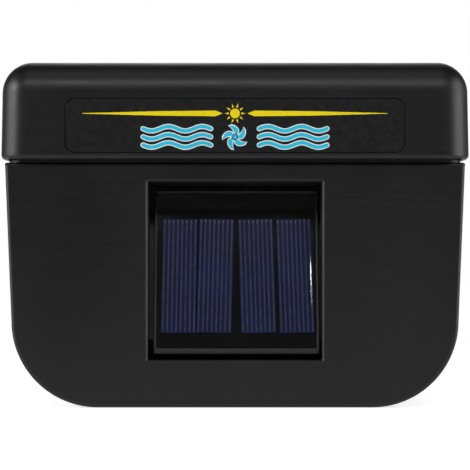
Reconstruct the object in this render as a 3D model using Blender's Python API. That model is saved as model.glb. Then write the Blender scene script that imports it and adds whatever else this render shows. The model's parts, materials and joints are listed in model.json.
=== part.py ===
"""Solar fan that hangs on the top edge of a car's side window.

Metres, +Z up, +X to the right of someone who looks at the solar panel, -Y outside the car.
The origin lies on the surface that both casings stand on, under the middle of the hood.
Air path: intake grille, drums, over the glass inside the hood, down the outer casing, exhaust slots.
"""

import math

import bmesh
import bpy
from mathutils import Matrix, Vector

MM = 0.001

# Driving dimensions
WIDTH, DEPTH, HEIGHT = 160 * MM, 80 * MM, 117.6 * MM
WALL = 2.4 * MM
FIT = 0.3 * MM  # gap between pieces that meet
PAST = 4 * MM  # how far a cutter runs past a face
SINK = 0.6 * MM  # how far a joined shape runs into its host
GLASS_FRONT, GLASS_REAR = -7.5 * MM, 0.5 * MM  # the slot for the window glass
SIDES = 24  # sides of a round piece

# Hood
HOOD_BOTTOM = 84 * MM
HOOD_ROUND = 9.5 * MM
HOOD_LIP_ROUND = 2 * MM
HOOD_TAPER = 0.6 * MM
BADGE_HALF, BADGE_LOW, BADGE_HIGH = 57 * MM, 86.6 * MM, 104.4 * MM
BADGE_ROUND, BADGE_THICK, BADGE_SUNK = 3 * MM, 0.3 * MM, 0.4 * MM
CLIP_X, CLIP_HALF, CLIP_LOW, CLIP_HIGH = 42 * MM, 6 * MM, 88 * MM, 90 * MM
CLIP_REACH = 3.2 * MM  # how far a clip runs in past the casing's face

# Casings
CASE_HALF = WIDTH / 2 - 1.8 * MM  # half width just under the hood
CASE_FACE = DEPTH / 2 - 4 * MM  # front and rear face from the middle
CORNER, CORNER_X = 29.3 * MM, 46.7 * MM
SHOULDER = HOOD_BOTTOM - 0.8 * MM
CASE_ROUND = 1.5 * MM
COLLAR_IN, COLLAR_THICK = 1 * MM, 1.6 * MM
COLLAR_ROUND, COLLAR_LOW, COLLAR_TOP = 6 * MM, 79 * MM, 94 * MM
PLATE_TOP = 80 * MM
SLOT_PITCH, SLOT_WIDE = 5.4 * MM, 3 * MM
EXHAUST_REACH, EXHAUST_NEAR, EXHAUST_FAR = 43.2 * MM, -31 * MM, -14 * MM
GRILLE_REACH, GRILLE_LOW, GRILLE_HIGH = 48.6 * MM, 40 * MM, 76 * MM
TONGUE = [(26.2, 69), (26.6, 67.6), (34.2, 74.4), (34.2, 76)]  # (y, z) in mm, above the drums
TONGUE_NEAR, TONGUE_FAR = 12 * MM, 52 * MM
PLATE_BOSS, PLATE_POST, CASING_BOSS, HOOD_BOSS = 3.2 * MM, 3.6 * MM, 4.4 * MM, 3.4 * MM
BOSS_SIDES, HOOD_BOSS_LONG = 16, 9 * MM

# Rubber strips that hold the glass
SEAT_HALF, SEAT_WIDE, SEAT_LOW, SEAT_TOP = 70 * MM, 3.4 * MM, 78.4 * MM, 80 * MM
PAD_HALF, PAD_THICK, PAD_LOW, PAD_TOP = 60 * MM, 1 * MM, 24 * MM, 74 * MM

# Window, recess and solar panel
WINDOW_HALF, WINDOW_LOW, WINDOW_HIGH = 29.3 * MM, 16.4 * MM, 76.5 * MM
WINDOW_CHAMFER = 1.2 * MM
RECESS_BACK, RECESS_DROP, RECESS_WALL = -14.2 * MM, 1.6 * MM, 1.6 * MM
PANEL_PLACE = Vector((0.5, -30.8, 17.3)) * MM
PANEL_TILT = math.radians(15)
TRAY_HALF, TRAY_LONG, TRAY_FLOOR, TRAY_RIM = 28.3 * MM, 58 * MM, 1.2 * MM, 3.4 * MM
TRAY_SIDE, TRAY_BAR = 0.8 * MM, 2 * MM
RAIL_IN, RAIL_OUT, RAIL_THICK, RAIL_LOW = 1.2 * MM, 0.9 * MM, 1.5 * MM, 6 * MM
BOARD_FRONT, CELL_DEEP, CELL_THICK = -1.5 * MM, -1.9 * MM, 0.2 * MM
RESIN_FRONT, RESIN_BACK = -2.9 * MM, -2.3 * MM
CELL_WIDE, CELL_LONG, CELL_LOW = 11.95 * MM, 40.5 * MM, 7.5 * MM
CELLS = ((-19.7, 0.6), (-7.3, 1.3), (7.1, -1.6), (20.25, -1.6))  # middle in mm, lean in degrees

# Motor and drums, all on one axis along X
AXIS = Vector((0, 18.25, 58)) * MM
SHAFT = 1 * MM
SHAFT_HALF = 56.5 * MM
CAN, CAN_LEFT, CAN_RIGHT, CAN_WALL = 11.5 * MM, -6.5 * MM, 3.5 * MM, 0.8 * MM
CAP_RIGHT = 6 * MM
MAGNET_SPAN, MAGNET_BACK, CAN_SIDES = 62, 1.4 * MM, 32  # degrees each way, and depth from the can
TERMINAL_Y, TERMINAL_LOW, TERMINAL_HIGH = 4 * MM, 11.4 * MM, 16.5 * MM
TERMINAL_LEFT, TERMINAL_RIGHT = 4.2 * MM, 5 * MM
POLES, POLE_TIP, POLE_SIDE, POLE_ROOT = (90, 210, 330), 8.7 * MM, 7.6 * MM, 3.4 * MM
POLE_SPAN, CORE_LEFT, CORE_RIGHT = 42, CAN_LEFT + 2.4 * MM, CAN_RIGHT - 1.4 * MM
SLEEVE, SLEEVE_HALF, STRAP_THICK = 12.8 * MM, 3.6 * MM, 1.3 * MM
EAR_FAR = 20 * MM
DRUM, DRUM_INNER, DRUM_NEAR, DRUM_FAR, DISC = 12.2 * MM, 8.8 * MM, 11.5 * MM, 51 * MM, 1.2 * MM
HUB, HUB_LONG = 3 * MM, 5 * MM
BLADES, BLADE_THICK, BLADE_CAMBER, BLADE_CURL = 18, 0.8 * MM, math.radians(34), 1.6
GUIDE_NEAR, GUIDE_FAR, GUIDE_THICK = 10.6 * MM, 54.4 * MM, 1.2 * MM
GUIDE_WIDE, GUIDE_TIGHT = 13.8 * MM, 12.9 * MM  # scroll radius at the plate and at the grille
GUIDE_TOP, GUIDE_LIP, GUIDE_LIP_Z, GUIDE_END = 78.5 * MM, 33.2 * MM, 43.4 * MM, 310
CHEEK_FACE, CHEEK_BACK = GUIDE_FAR - 1.4 * MM, GUIDE_FAR - 0.2 * MM
BUSH, BUSH_FLANGE, BUSH_END = 2.7 * MM, 3.6 * MM, GUIDE_FAR + 1.1 * MM

# Screws: head radius, head height, shank radius, length under the head
PAN = (2.5 * MM, 1.5 * MM, 1.3 * MM, 9 * MM)
SHORT_PAN = (2.1 * MM, 1.2 * MM, 1 * MM, 3.4 * MM)
SUNK = (2.5 * MM, 1.2 * MM, 1.3 * MM, 9 * MM)
SCREW_SIDES = 12
CROSS_WING, CROSS_HALF, CROSS_DEEP = 0.6, 0.14, 0.45  # shares of the head's radius and height
TOWARD_REAR = Matrix.Rotation(-math.pi / 2, 4, "X")
ALONG_X = Matrix.Rotation(math.pi / 2, 4, "Y")

# Colours
BLACK_ABS = (0.012, 0.012, 0.013)
DARK_RUBBER = (0.02, 0.02, 0.02)
CELL_BLUE = (0.012, 0.016, 0.05)
STEEL = (0.6, 0.6, 0.58)
BRASS = (0.75, 0.55, 0.22)
IRON = (0.25, 0.24, 0.23)
INNER_BLACK = (0.02, 0.02, 0.021)
BADGE_BLACK = (0.01, 0.01, 0.01)
CLEAR_RESIN = (0.03, 0.03, 0.04)
RED_PVC = (0.5, 0.02, 0.015)
BLACK_PVC = (0.015, 0.015, 0.015)


def clear_scene():
    for obj in list(bpy.data.objects):
        bpy.data.objects.remove(obj, do_unlink=True)


def material(name, color, roughness, metallic=0.0):
    """A Principled material, made once for each finish."""
    if name in bpy.data.materials:
        return bpy.data.materials[name]
    made = bpy.data.materials.new(name)
    made.use_nodes = True
    made.diffuse_color = (*color, 1)
    shader = made.node_tree.nodes["Principled BSDF"]
    shader.inputs["Base Color"].default_value = (*color, 1)
    shader.inputs["Roughness"].default_value = roughness
    shader.inputs["Metallic"].default_value = metallic
    return made


# Shapes, each added to a bmesh


def add_faces(bm, points, faces, place=Matrix()):
    verts = [bm.verts.new(place @ Vector(p)) for p in points]
    for face in faces:
        bm.faces.new([verts[i] for i in face])
    return verts


def add_prism(bm, outline, axis, low, high, place=Matrix()):
    """A flat outline pushed along an axis. Its two numbers are the other two axes in their usual order."""
    slot = "XYZ".index(axis)
    rows = [[(*p[:slot], at, *p[slot:]) for p in outline] for at in (low, high)]
    count = len(outline)
    sides = [(i, (i + 1) % count, count + (i + 1) % count, count + i) for i in range(count)]
    caps = [tuple(range(count)), tuple(range(2 * count - 1, count - 1, -1))]
    return add_faces(bm, rows[0] + rows[1], sides + caps, place)


def add_box(bm, low, high, place=Matrix()):
    (x0, y0, z0), (x1, y1, z1) = low, high
    return add_prism(bm, [(x0, y0), (x1, y0), (x1, y1), (x0, y1)], "Z", z0, z1, place)


def add_frustum(bm, near, far):
    """A four-sided tunnel between two XZ rectangles, each (y, half width, low, high)."""
    points = []
    for y, half, low, high in (near, far):
        points += [(-half, y, low), (half, y, low), (half, y, high), (-half, y, high)]
    sides = [(i, (i + 1) % 4, 4 + (i + 1) % 4, 4 + i) for i in range(4)]
    return add_faces(bm, points, sides + [(0, 1, 2, 3), (7, 6, 5, 4)])


def add_turned(bm, profile, place=Matrix(), loop=False, sides=SIDES):
    """A profile of (radius, height) turned round Z. A loop profile is a ring; another one is capped."""
    rings = []
    for radius, height in profile:
        angles = [2 * math.pi * i / sides for i in range(sides)]
        points = [(radius * math.cos(a), radius * math.sin(a), height) for a in angles]
        rings.append([bm.verts.new(place @ Vector(p)) for p in points])
    pairs = list(zip(rings, rings[1:] + rings[:1])) if loop else list(zip(rings, rings[1:]))
    for lower, upper in pairs:
        for i in range(sides):
            j = (i + 1) % sides
            bm.faces.new((lower[i], lower[j], upper[j], upper[i]))
    if not loop:
        bm.faces.new(rings[0])
        bm.faces.new(rings[-1])


def add_rod(bm, radius, low, high, place=Matrix(), sides=SIDES):
    add_turned(bm, [(radius, low), (radius, high)], place, sides=sides)


def arc(centre, radius, start, stop, steps):
    """Points on an arc in degrees, both ends included. Two radii make a spiral."""
    first, last = radius if isinstance(radius, tuple) else (radius, radius)
    points = []
    for i in range(steps + 1):
        share = i / steps
        angle = math.radians(start + (stop - start) * share)
        reach = first + (last - first) * share
        points.append((centre[0] + reach * math.cos(angle), centre[1] + reach * math.sin(angle)))
    return points


def around(radius, degrees):
    """One point at an angle round the origin."""
    return (radius * math.cos(math.radians(degrees)), radius * math.sin(math.radians(degrees)))


def mirrored(right):
    """A right half outline from bottom to top, closed with its left half."""
    return right + [(-x, z) for x, z in reversed(right)]


# Objects


def round_edges(bm, edges, radius, segments):
    """Rounds edges of a closed form, whose faces first have to point out."""
    bmesh.ops.recalc_face_normals(bm, faces=bm.faces)
    bmesh.ops.bevel(bm, geom=edges, offset=radius, segments=segments, profile=0.5, affect="EDGES")


def to_object(name, bm):
    bmesh.ops.recalc_face_normals(bm, faces=bm.faces)
    mesh = bpy.data.meshes.new(name)
    bm.to_mesh(mesh)
    bm.free()
    obj = bpy.data.objects.new(name, mesh)
    bpy.context.scene.collection.objects.link(obj)
    return obj


def node(name, bm, finish, place=None, parent=None):
    """A sub-part. A place is its own matrix, under its parent where it has one."""
    obj = to_object(name, bm)
    obj.data.materials.append(finish)
    obj.data.shade_smooth()
    obj.data.set_sharp_from_angle(angle=math.radians(35))
    settle(obj, place, parent)
    return obj


def settle(obj, place=None, parent=None):
    obj.parent = parent
    if place is not None:
        obj.matrix_basis = place


def combine(obj, bm, operation):
    """Cuts a hidden shape from the object, or joins it on."""
    helper = to_object(f"helper_{len(bpy.data.objects)}", bm)
    helper.hide_render = True
    helper.display_type = "WIRE"
    helper.parent = obj
    modifier = obj.modifiers.new(operation.title(), "BOOLEAN")
    modifier.operation = operation
    modifier.object = helper


def cut(obj, bm):
    combine(obj, bm, "DIFFERENCE")


def fuse(obj, bm):
    combine(obj, bm, "UNION")


def empty(name, place):
    obj = bpy.data.objects.new(name, None)
    bpy.context.scene.collection.objects.link(obj)
    obj.matrix_basis = place
    bpy.context.view_layer.update()
    return obj


def both(*values):
    """Each value on the left and on the right."""
    return [sign * value for value in values for sign in (-1, 1)]


# Casing outlines


def case_outline(inset, upper):
    """The casings' outline as (x, z): flat bottom, round corners, then the given upper points."""
    lower = arc((CORNER_X, CORNER), CORNER - inset, -90, 0, 8)
    return mirrored(lower + upper)


def side_at(z):
    """The casing's half width at a height over its corners."""
    share = (z - CORNER) / (SHOULDER - CORNER)
    return CORNER_X + CORNER + (CASE_HALF - CORNER_X - CORNER) * share


def plate_outline():
    return case_outline(0, [(side_at(PLATE_TOP), PLATE_TOP)])


def collar_outline(seam, sign):
    """The rim inside the hood, seen from above: a U that is open at the seam, where the glass runs."""
    half, face = CASE_HALF - COLLAR_IN, CASE_FACE - COLLAR_IN
    centre = (half - COLLAR_ROUND, face - COLLAR_ROUND)
    outer = [(half, abs(seam))] + arc(centre, COLLAR_ROUND, 0, 90, 5)
    inner_round = COLLAR_ROUND - COLLAR_THICK
    inner = [(half - COLLAR_THICK, abs(seam))] + arc(centre, inner_round, 0, 90, 5)
    path = outer + [(-x, y) for x, y in reversed(outer)] + [(-x, y) for x, y in inner]
    return [(x, sign * y) for x, y in path + list(reversed(inner))]


def casing(name, sign, seam, finish):
    """An open casing: a skin with rounded front edges, hollow toward the glass, and the rim for the hood."""
    bm = bmesh.new()
    add_prism(bm, case_outline(0, [(CASE_HALF, SHOULDER)]), "Y", sign * CASE_FACE, seam)
    face_edges = [
        edge
        for edge in bm.edges
        if all(abs(v.co.y - sign * CASE_FACE) < FIT for v in edge.verts)
        and not all(abs(v.co.z - SHOULDER) < FIT for v in edge.verts)
    ]
    round_edges(bm, face_edges, CASE_ROUND, 2)
    obj = node(name, bm, finish)
    hollow = bmesh.new()
    inner = case_outline(WALL, [(CASE_HALF - WALL, SHOULDER), (CASE_HALF - WALL, SHOULDER + PAST)])
    add_prism(hollow, inner, "Y", sign * (CASE_FACE - WALL), seam - sign * PAST)
    cut(obj, hollow)
    rim = bmesh.new()
    add_prism(rim, collar_outline(seam, sign), "Z", COLLAR_LOW, COLLAR_TOP)
    fuse(obj, rim)
    return obj


# Screws


def screw_profile(kind, sunk, grow=0.0, above=0.0):
    """(radius, height) from the tip up, with the seat of the head at height 0."""
    head, high, shank, length = kind
    neck = (shank + grow, -high if sunk else 0)
    flank = (head + grow, 0)
    tip = (shank * 0.5 + grow, -length - grow)
    return [tip, (shank + grow, -length + shank * 0.6), neck, flank, (head + grow, above)]


def screw_mesh(name, kind, sunk, finish):
    """A screw with a cross in its head, made once and shared by its copies."""
    head, high, shank, _ = kind
    top = FIT if sunk else high
    bm = bmesh.new()
    add_turned(bm, screw_profile(kind, sunk, above=top), sides=SCREW_SIDES)
    obj = node(name, bm, finish)
    cross = bmesh.new()
    wing, wide, deep = head * CROSS_WING, head * CROSS_HALF, high * CROSS_DEEP
    arm = [(wing, -wide), (wing, wide), (wide, wide)]
    turned = [Matrix.Rotation(math.pi / 2 * i, 2) for i in range(4)]
    outline = [tuple(turn @ Vector(p)) for turn in turned for p in arm]
    add_prism(cross, outline, "Z", top - deep, top + PAST)
    cut(obj, cross)
    bpy.context.view_layer.update()
    graph = bpy.context.evaluated_depsgraph_get()
    mesh = bpy.data.meshes.new_from_object(obj.evaluated_get(graph))
    for made in [obj, *obj.children]:
        bpy.data.objects.remove(made, do_unlink=True)
    return mesh


def place_screw(name, mesh, at, turn=Matrix()):
    obj = bpy.data.objects.new(name, mesh)
    bpy.context.scene.collection.objects.link(obj)
    obj.matrix_basis = Matrix.Translation(at) @ turn


def screw_space(bm, kind, at, turn=Matrix(), sunk=False, above=PAST):
    """The clearance hole of a screw, with the way in for its head."""
    place = Matrix.Translation(at) @ turn
    add_turned(bm, screw_profile(kind, sunk, FIT, above), place, sides=SCREW_SIDES)


def add_boss(bm, radius, x, z, near, far):
    """A round boss along Y, for a screw."""
    place = Matrix.Translation((x, 0, z)) @ TOWARD_REAR
    add_rod(bm, radius, near, far, place, sides=BOSS_SIDES)


# Places that several pieces share

SCREW_ROWS = (62 * MM, 62 * MM, 14 * MM, 14 * MM)
PLATE_SCREWS = list(zip(both(70 * MM, 58 * MM), SCREW_ROWS))
CASING_SCREWS = list(zip(both(68 * MM, 58 * MM), SCREW_ROWS))
PLATE_SEAT = GLASS_FRONT - 0.5 * MM  # face of the sunk screws
CASING_SEAT = 15 * MM  # underside of the casing screws' heads
BRIDGE_LOW, BRIDGE_HIGH, BRIDGE_HALF = PLATE_TOP + FIT, PLATE_TOP + 2.3 * MM, 73 * MM
BRIDGE_SCREWS = [(x, y) for y in (-12.2 * MM, 5.2 * MM) for x in both(64 * MM)]
EAR_HALF, EAR_LOW = 5 * MM, 70 * MM
BRIDGE_FRONT, BRIDGE_BACK = -15 * MM, 8 * MM
HOOD_SCREW_X, HOOD_SCREW_Z, HOOD_SEAT = 50 * MM, 89 * MM, DEPTH / 2 - 0.8 * MM
SADDLE_Y = 12 * MM
STRAP_SCREW_Z = (AXIS.z - 17 * MM, AXIS.z + 17 * MM)
STRAP_SEAT = SADDLE_Y + FIT + STRAP_THICK + FIT
GUIDE_BACK = GLASS_REAR + WALL + 0.35 * MM
TAB_FRONT, TAB_HALF, TAB_LOW, TAB_HIGH = GUIDE_BACK + 1.45 * MM, 4 * MM, 38 * MM, 56 * MM
GUIDE_SCREWS = [(x, 42 * MM) for x in both(18 * MM, 47 * MM)]
WIRE_HOLE_Z, WIRE_XS, WIRE = 50 * MM, (3.5 * MM, 6.5 * MM), 0.7 * MM
HOLE_ROOM, NOTCH_ROOM = 1.6 * MM, 1.6 * MM  # from a lead's middle to the edge of its hole


def glass_side_screws(bm):
    for x, z in PLATE_SCREWS:
        screw_space(bm, SUNK, (x, PLATE_SEAT, z), TOWARD_REAR, sunk=True)


def bridge_screw_spaces(bm, rear):
    for x, y in BRIDGE_SCREWS:
        if (y > 0) == rear:
            screw_space(bm, PAN, (x, y, BRIDGE_HIGH))


def slot_middles(reach):
    """The middles of a row of slots that runs as far on both sides of the middle."""
    count = round(reach / SLOT_PITCH)
    return [i * SLOT_PITCH for i in range(-count, count + 1)]


# Sub-parts


def make_front_shell(finish, panel):
    seam = GLASS_FRONT - WALL - FIT
    face = -CASE_FACE
    obj = casing("front_shell", -1, seam, finish)
    recess = bmesh.new()
    inner = face + WALL - SINK
    low = (-WINDOW_HALF - RECESS_WALL, inner, WINDOW_LOW - RECESS_WALL)
    high = (WINDOW_HALF + RECESS_WALL, RECESS_BACK, WINDOW_HIGH + RECESS_WALL)
    add_box(recess, low, high)
    for x, z in PLATE_SCREWS:
        add_boss(recess, PLATE_BOSS, x, z, inner, seam)
    fuse(obj, recess)
    opening = bmesh.new()
    near = (face - PAST, WINDOW_HALF, WINDOW_LOW, WINDOW_HIGH)
    far = (RECESS_BACK + PAST, WINDOW_HALF, WINDOW_LOW, WINDOW_HIGH - RECESS_DROP)
    add_frustum(opening, near, far)
    cut(obj, opening)
    chamfer = bmesh.new()
    more = 2 * WINDOW_CHAMFER
    near = (face - WINDOW_CHAMFER, WINDOW_HALF + more, WINDOW_LOW - more, WINDOW_HIGH + more)
    add_frustum(chamfer, near, (face + WINDOW_CHAMFER, WINDOW_HALF, WINDOW_LOW, WINDOW_HIGH))
    cut(obj, chamfer)
    slots = bmesh.new()
    for x in slot_middles(EXHAUST_REACH):
        low = (x - SLOT_WIDE / 2, EXHAUST_NEAR, -PAST)
        add_box(slots, low, (x + SLOT_WIDE / 2, EXHAUST_FAR, WALL + SINK))
    for x in both(CLIP_X):
        low = (x - CLIP_HALF - 2 * FIT, face - PAST, CLIP_LOW - 2 * FIT)
        add_box(slots, low, (x + CLIP_HALF + 2 * FIT, face + PAST, CLIP_HIGH + 2 * FIT))
    glass_side_screws(slots)
    cut(obj, slots)
    rails = bmesh.new()
    rail_y = TRAY_FLOOR + FIT
    for sign in (-1, 1):
        xs = sorted((sign * (TRAY_HALF - RAIL_IN), sign * (WINDOW_HALF + RAIL_OUT)))
        low, high = (xs[0], rail_y, RAIL_LOW), (xs[1], rail_y + RAIL_THICK, WIRE_HOLE_Z)
        add_box(rails, low, high, panel.matrix_basis)
    fuse(obj, rails)


def make_outer_plate(finish):
    bm = bmesh.new()
    add_prism(bm, plate_outline(), "Y", GLASS_FRONT - WALL, GLASS_FRONT)
    obj = node("outer_plate", bm, finish)
    ears = bmesh.new()
    for x in both(BRIDGE_SCREWS[1][0]):
        low = (x - EAR_HALF, BRIDGE_FRONT, EAR_LOW)
        add_box(ears, low, (x + EAR_HALF, GLASS_FRONT - WALL + SINK, PLATE_TOP))
    fuse(obj, ears)
    holes = bmesh.new()
    glass_side_screws(holes)
    bridge_screw_spaces(holes, rear=False)
    cut(obj, holes)


def make_inner_plate(finish):
    face = GLASS_REAR + WALL
    bm = bmesh.new()
    add_prism(bm, plate_outline(), "Y", GLASS_REAR, face)
    obj = node("inner_plate", bm, finish)
    raised = bmesh.new()
    for x in both(BRIDGE_SCREWS[1][0]):
        low = (x - EAR_HALF, face - SINK, EAR_LOW)
        add_box(raised, low, (x + EAR_HALF, BRIDGE_BACK, PLATE_TOP))
    for x, z in CASING_SCREWS:
        add_boss(raised, PLATE_POST, x, z, face - SINK, SADDLE_Y)
    low = (-SLEEVE_HALF, face - SINK, AXIS.z - EAR_FAR)
    add_box(raised, low, (SLEEVE_HALF, SADDLE_Y, AXIS.z + EAR_FAR))
    fuse(obj, raised)
    bed = bmesh.new()
    place = Matrix.Translation(AXIS) @ ALONG_X
    add_rod(bed, SLEEVE + FIT, -SLEEVE_HALF - PAST, SLEEVE_HALF + PAST, place)
    cut(obj, bed)
    holes = bmesh.new()
    bridge_screw_spaces(holes, rear=True)
    for x, z in CASING_SCREWS:
        screw_space(holes, PAN, (x, CASING_SEAT, z), TOWARD_REAR)
    for x, z in GUIDE_SCREWS:
        screw_space(holes, SHORT_PAN, (x, TAB_FRONT + FIT, z), TOWARD_REAR)
    for z in STRAP_SCREW_Z:
        screw_space(holes, PAN, (0, STRAP_SEAT, z), TOWARD_REAR)
    cut(obj, holes)


def make_rear_shell(finish):
    seam = GLASS_REAR + WALL + FIT
    face = CASE_FACE
    obj = casing("rear_shell", 1, seam, finish)
    inside = bmesh.new()
    for x, z in CASING_SCREWS:
        add_boss(inside, CASING_BOSS, x, z, SADDLE_Y + FIT, face - WALL + SINK)
    hood_inner = DEPTH / 2 - WALL
    for x in both(HOOD_SCREW_X):
        add_boss(inside, HOOD_BOSS, x, HOOD_SCREW_Z, face - HOOD_BOSS_LONG, hood_inner - FIT)
    for sign in (-1, 1):
        xs = sorted((sign * TONGUE_NEAR, sign * TONGUE_FAR))
        add_prism(inside, [(y * MM, z * MM) for y, z in TONGUE], "X", *xs)
    fuse(obj, inside)
    openings = bmesh.new()
    for x in slot_middles(GRILLE_REACH):
        low = (x - SLOT_WIDE / 2, face - WALL - SINK, GRILLE_LOW)
        add_box(openings, low, (x + SLOT_WIDE / 2, face + PAST, GRILLE_HIGH))
    for x, z in CASING_SCREWS:
        above = face + PAST - CASING_SEAT
        screw_space(openings, PAN, (x, CASING_SEAT - FIT, z), TOWARD_REAR, above=above)
    for x in both(HOOD_SCREW_X):
        at = (x, HOOD_SEAT, HOOD_SCREW_Z)
        screw_space(openings, SUNK, at, TOWARD_REAR, sunk=True)
    cut(obj, openings)


def rounded_box(inset, low):
    """The hood's outer form, or its hollow when it is inset: all edges round but the lower ones."""
    bm = bmesh.new()
    top = HEIGHT - inset
    points = []
    for z, taper in ((low, 0), (top, HOOD_TAPER)):
        half_x, half_y = WIDTH / 2 - inset - taper, DEPTH / 2 - inset - taper
        points += [(-half_x, -half_y, z), (half_x, -half_y, z)]
        points += [(half_x, half_y, z), (-half_x, half_y, z)]
    sides = [(i, (i + 1) % 4, 4 + (i + 1) % 4, 4 + i) for i in range(4)]
    add_faces(bm, points, sides + [(0, 1, 2, 3), (7, 6, 5, 4)])
    upper = [e for e in bm.edges if any(v.co.z > top - FIT for v in e.verts)]
    round_edges(bm, upper, HOOD_ROUND - inset, 5)
    return bm


def make_hood(finish):
    bm = rounded_box(0, HOOD_BOTTOM)
    rim = [e for e in bm.edges if all(abs(v.co.z - HOOD_BOTTOM) < FIT for v in e.verts)]
    round_edges(bm, rim, HOOD_LIP_ROUND, 2)
    obj = node("hood", bm, finish)
    cut(obj, rounded_box(WALL, HOOD_BOTTOM - PAST))
    holes = bmesh.new()
    for x in both(HOOD_SCREW_X):
        at = (x, HOOD_SEAT, HOOD_SCREW_Z)
        screw_space(holes, SUNK, at, TOWARD_REAR, sunk=True)
    floor = -DEPTH / 2 + 2 * BADGE_SUNK + BADGE_THICK
    add_prism(holes, badge_outline(BADGE_SUNK), "Y", -DEPTH / 2 - PAST, floor)
    cut(obj, holes)
    clips = bmesh.new()
    for x in both(CLIP_X):
        near, far = -DEPTH / 2 + WALL - SINK, -CASE_FACE + CLIP_REACH
        add_box(clips, (x - CLIP_HALF, near, CLIP_LOW), (x + CLIP_HALF, far, CLIP_HIGH))
    fuse(obj, clips)


def badge_outline(grow):
    half, radius = BADGE_HALF + grow, BADGE_ROUND + grow
    low, high = BADGE_LOW - grow, BADGE_HIGH + grow
    lower = arc((half - radius, low + radius), radius, -90, 0, 4)
    return mirrored(lower + arc((half - radius, high - radius), radius, 0, 90, 4))


def make_badge(finish):
    bm = bmesh.new()
    near = -DEPTH / 2 + BADGE_SUNK
    add_prism(bm, badge_outline(0), "Y", near, near + BADGE_THICK)
    node("badge", bm, finish)


def make_bridge(finish):
    bm = bmesh.new()
    low = (-BRIDGE_HALF, BRIDGE_FRONT, BRIDGE_LOW)
    add_box(bm, low, (BRIDGE_HALF, BRIDGE_BACK, BRIDGE_HIGH))
    obj = node("bridge", bm, finish)
    holes = bmesh.new()
    for x, y in BRIDGE_SCREWS:
        screw_space(holes, PAN, (x, y, BRIDGE_HIGH))
    left, right = [PANEL_PLACE.x + x for x in WIRE_XS]
    low = (left - NOTCH_ROOM, BRIDGE_FRONT - PAST, BRIDGE_LOW - PAST)
    add_box(holes, low, (right + NOTCH_ROOM, GLASS_FRONT - WALL, BRIDGE_HIGH + PAST))
    cut(obj, holes)


def make_glass_pads(finish):
    middle = (GLASS_FRONT + GLASS_REAR) / 2
    outer, inner = GLASS_FRONT + FIT, GLASS_REAR - FIT
    pads = {
        "glass_seat": (SEAT_HALF, middle - SEAT_WIDE, middle + SEAT_WIDE, SEAT_LOW, SEAT_TOP),
        "glass_pad_outer": (PAD_HALF, outer, outer + PAD_THICK, PAD_LOW, PAD_TOP),
        "glass_pad_inner": (PAD_HALF, inner - PAD_THICK, inner, PAD_LOW, PAD_TOP),
    }
    for name, (half, front, back, low, high) in pads.items():
        bm = bmesh.new()
        add_box(bm, (-half, front, low), (half, back, high))
        node(name, bm, finish)


def make_panel(panel, black, cell, clear):
    """Everything in the panel's own tilted frame: X across, Z up the panel, -Y out of its face."""
    bm = bmesh.new()
    add_box(bm, (-TRAY_HALF, -TRAY_RIM, 0), (TRAY_HALF, TRAY_FLOOR, TRAY_LONG))
    tray = node("panel_tray", bm, black, Matrix(), panel)
    pocket = bmesh.new()
    inside, roof = TRAY_HALF - TRAY_SIDE, TRAY_LONG - TRAY_SIDE
    add_box(pocket, (-inside, -TRAY_RIM - PAST, TRAY_BAR), (inside, 0, roof))
    cut(tray, pocket)
    way = bmesh.new()
    low = (WIRE_XS[0] - HOLE_ROOM, -SINK, WIRE_HOLE_Z - HOLE_ROOM)
    add_box(way, low, (WIRE_XS[1] + HOLE_ROOM, TRAY_FLOOR + PAST, WIRE_HOLE_Z + HOLE_ROOM))
    cut(tray, way)
    layers = {
        "panel_board": (BOARD_FRONT, -FIT, black),
        "panel_resin": (RESIN_FRONT, RESIN_BACK, clear),
    }
    for name, (front, back, finish) in layers.items():
        bm = bmesh.new()
        low = (-inside + FIT, front, TRAY_BAR + FIT)
        add_box(bm, low, (inside - FIT, back, roof - FIT))
        node(name, bm, finish, Matrix(), panel)
    for i, (x, lean) in enumerate(CELLS):
        bm = bmesh.new()
        half = Vector((CELL_WIDE, CELL_THICK, CELL_LONG)) / 2
        add_box(bm, -half, half)
        at = Vector((x * MM, CELL_DEEP, CELL_LOW + CELL_LONG / 2))
        turn = Matrix.Rotation(math.radians(lean), 4, "Y")
        node(f"cell_{i + 1}", bm, cell, Matrix.Translation(at) @ turn, panel)


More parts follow.
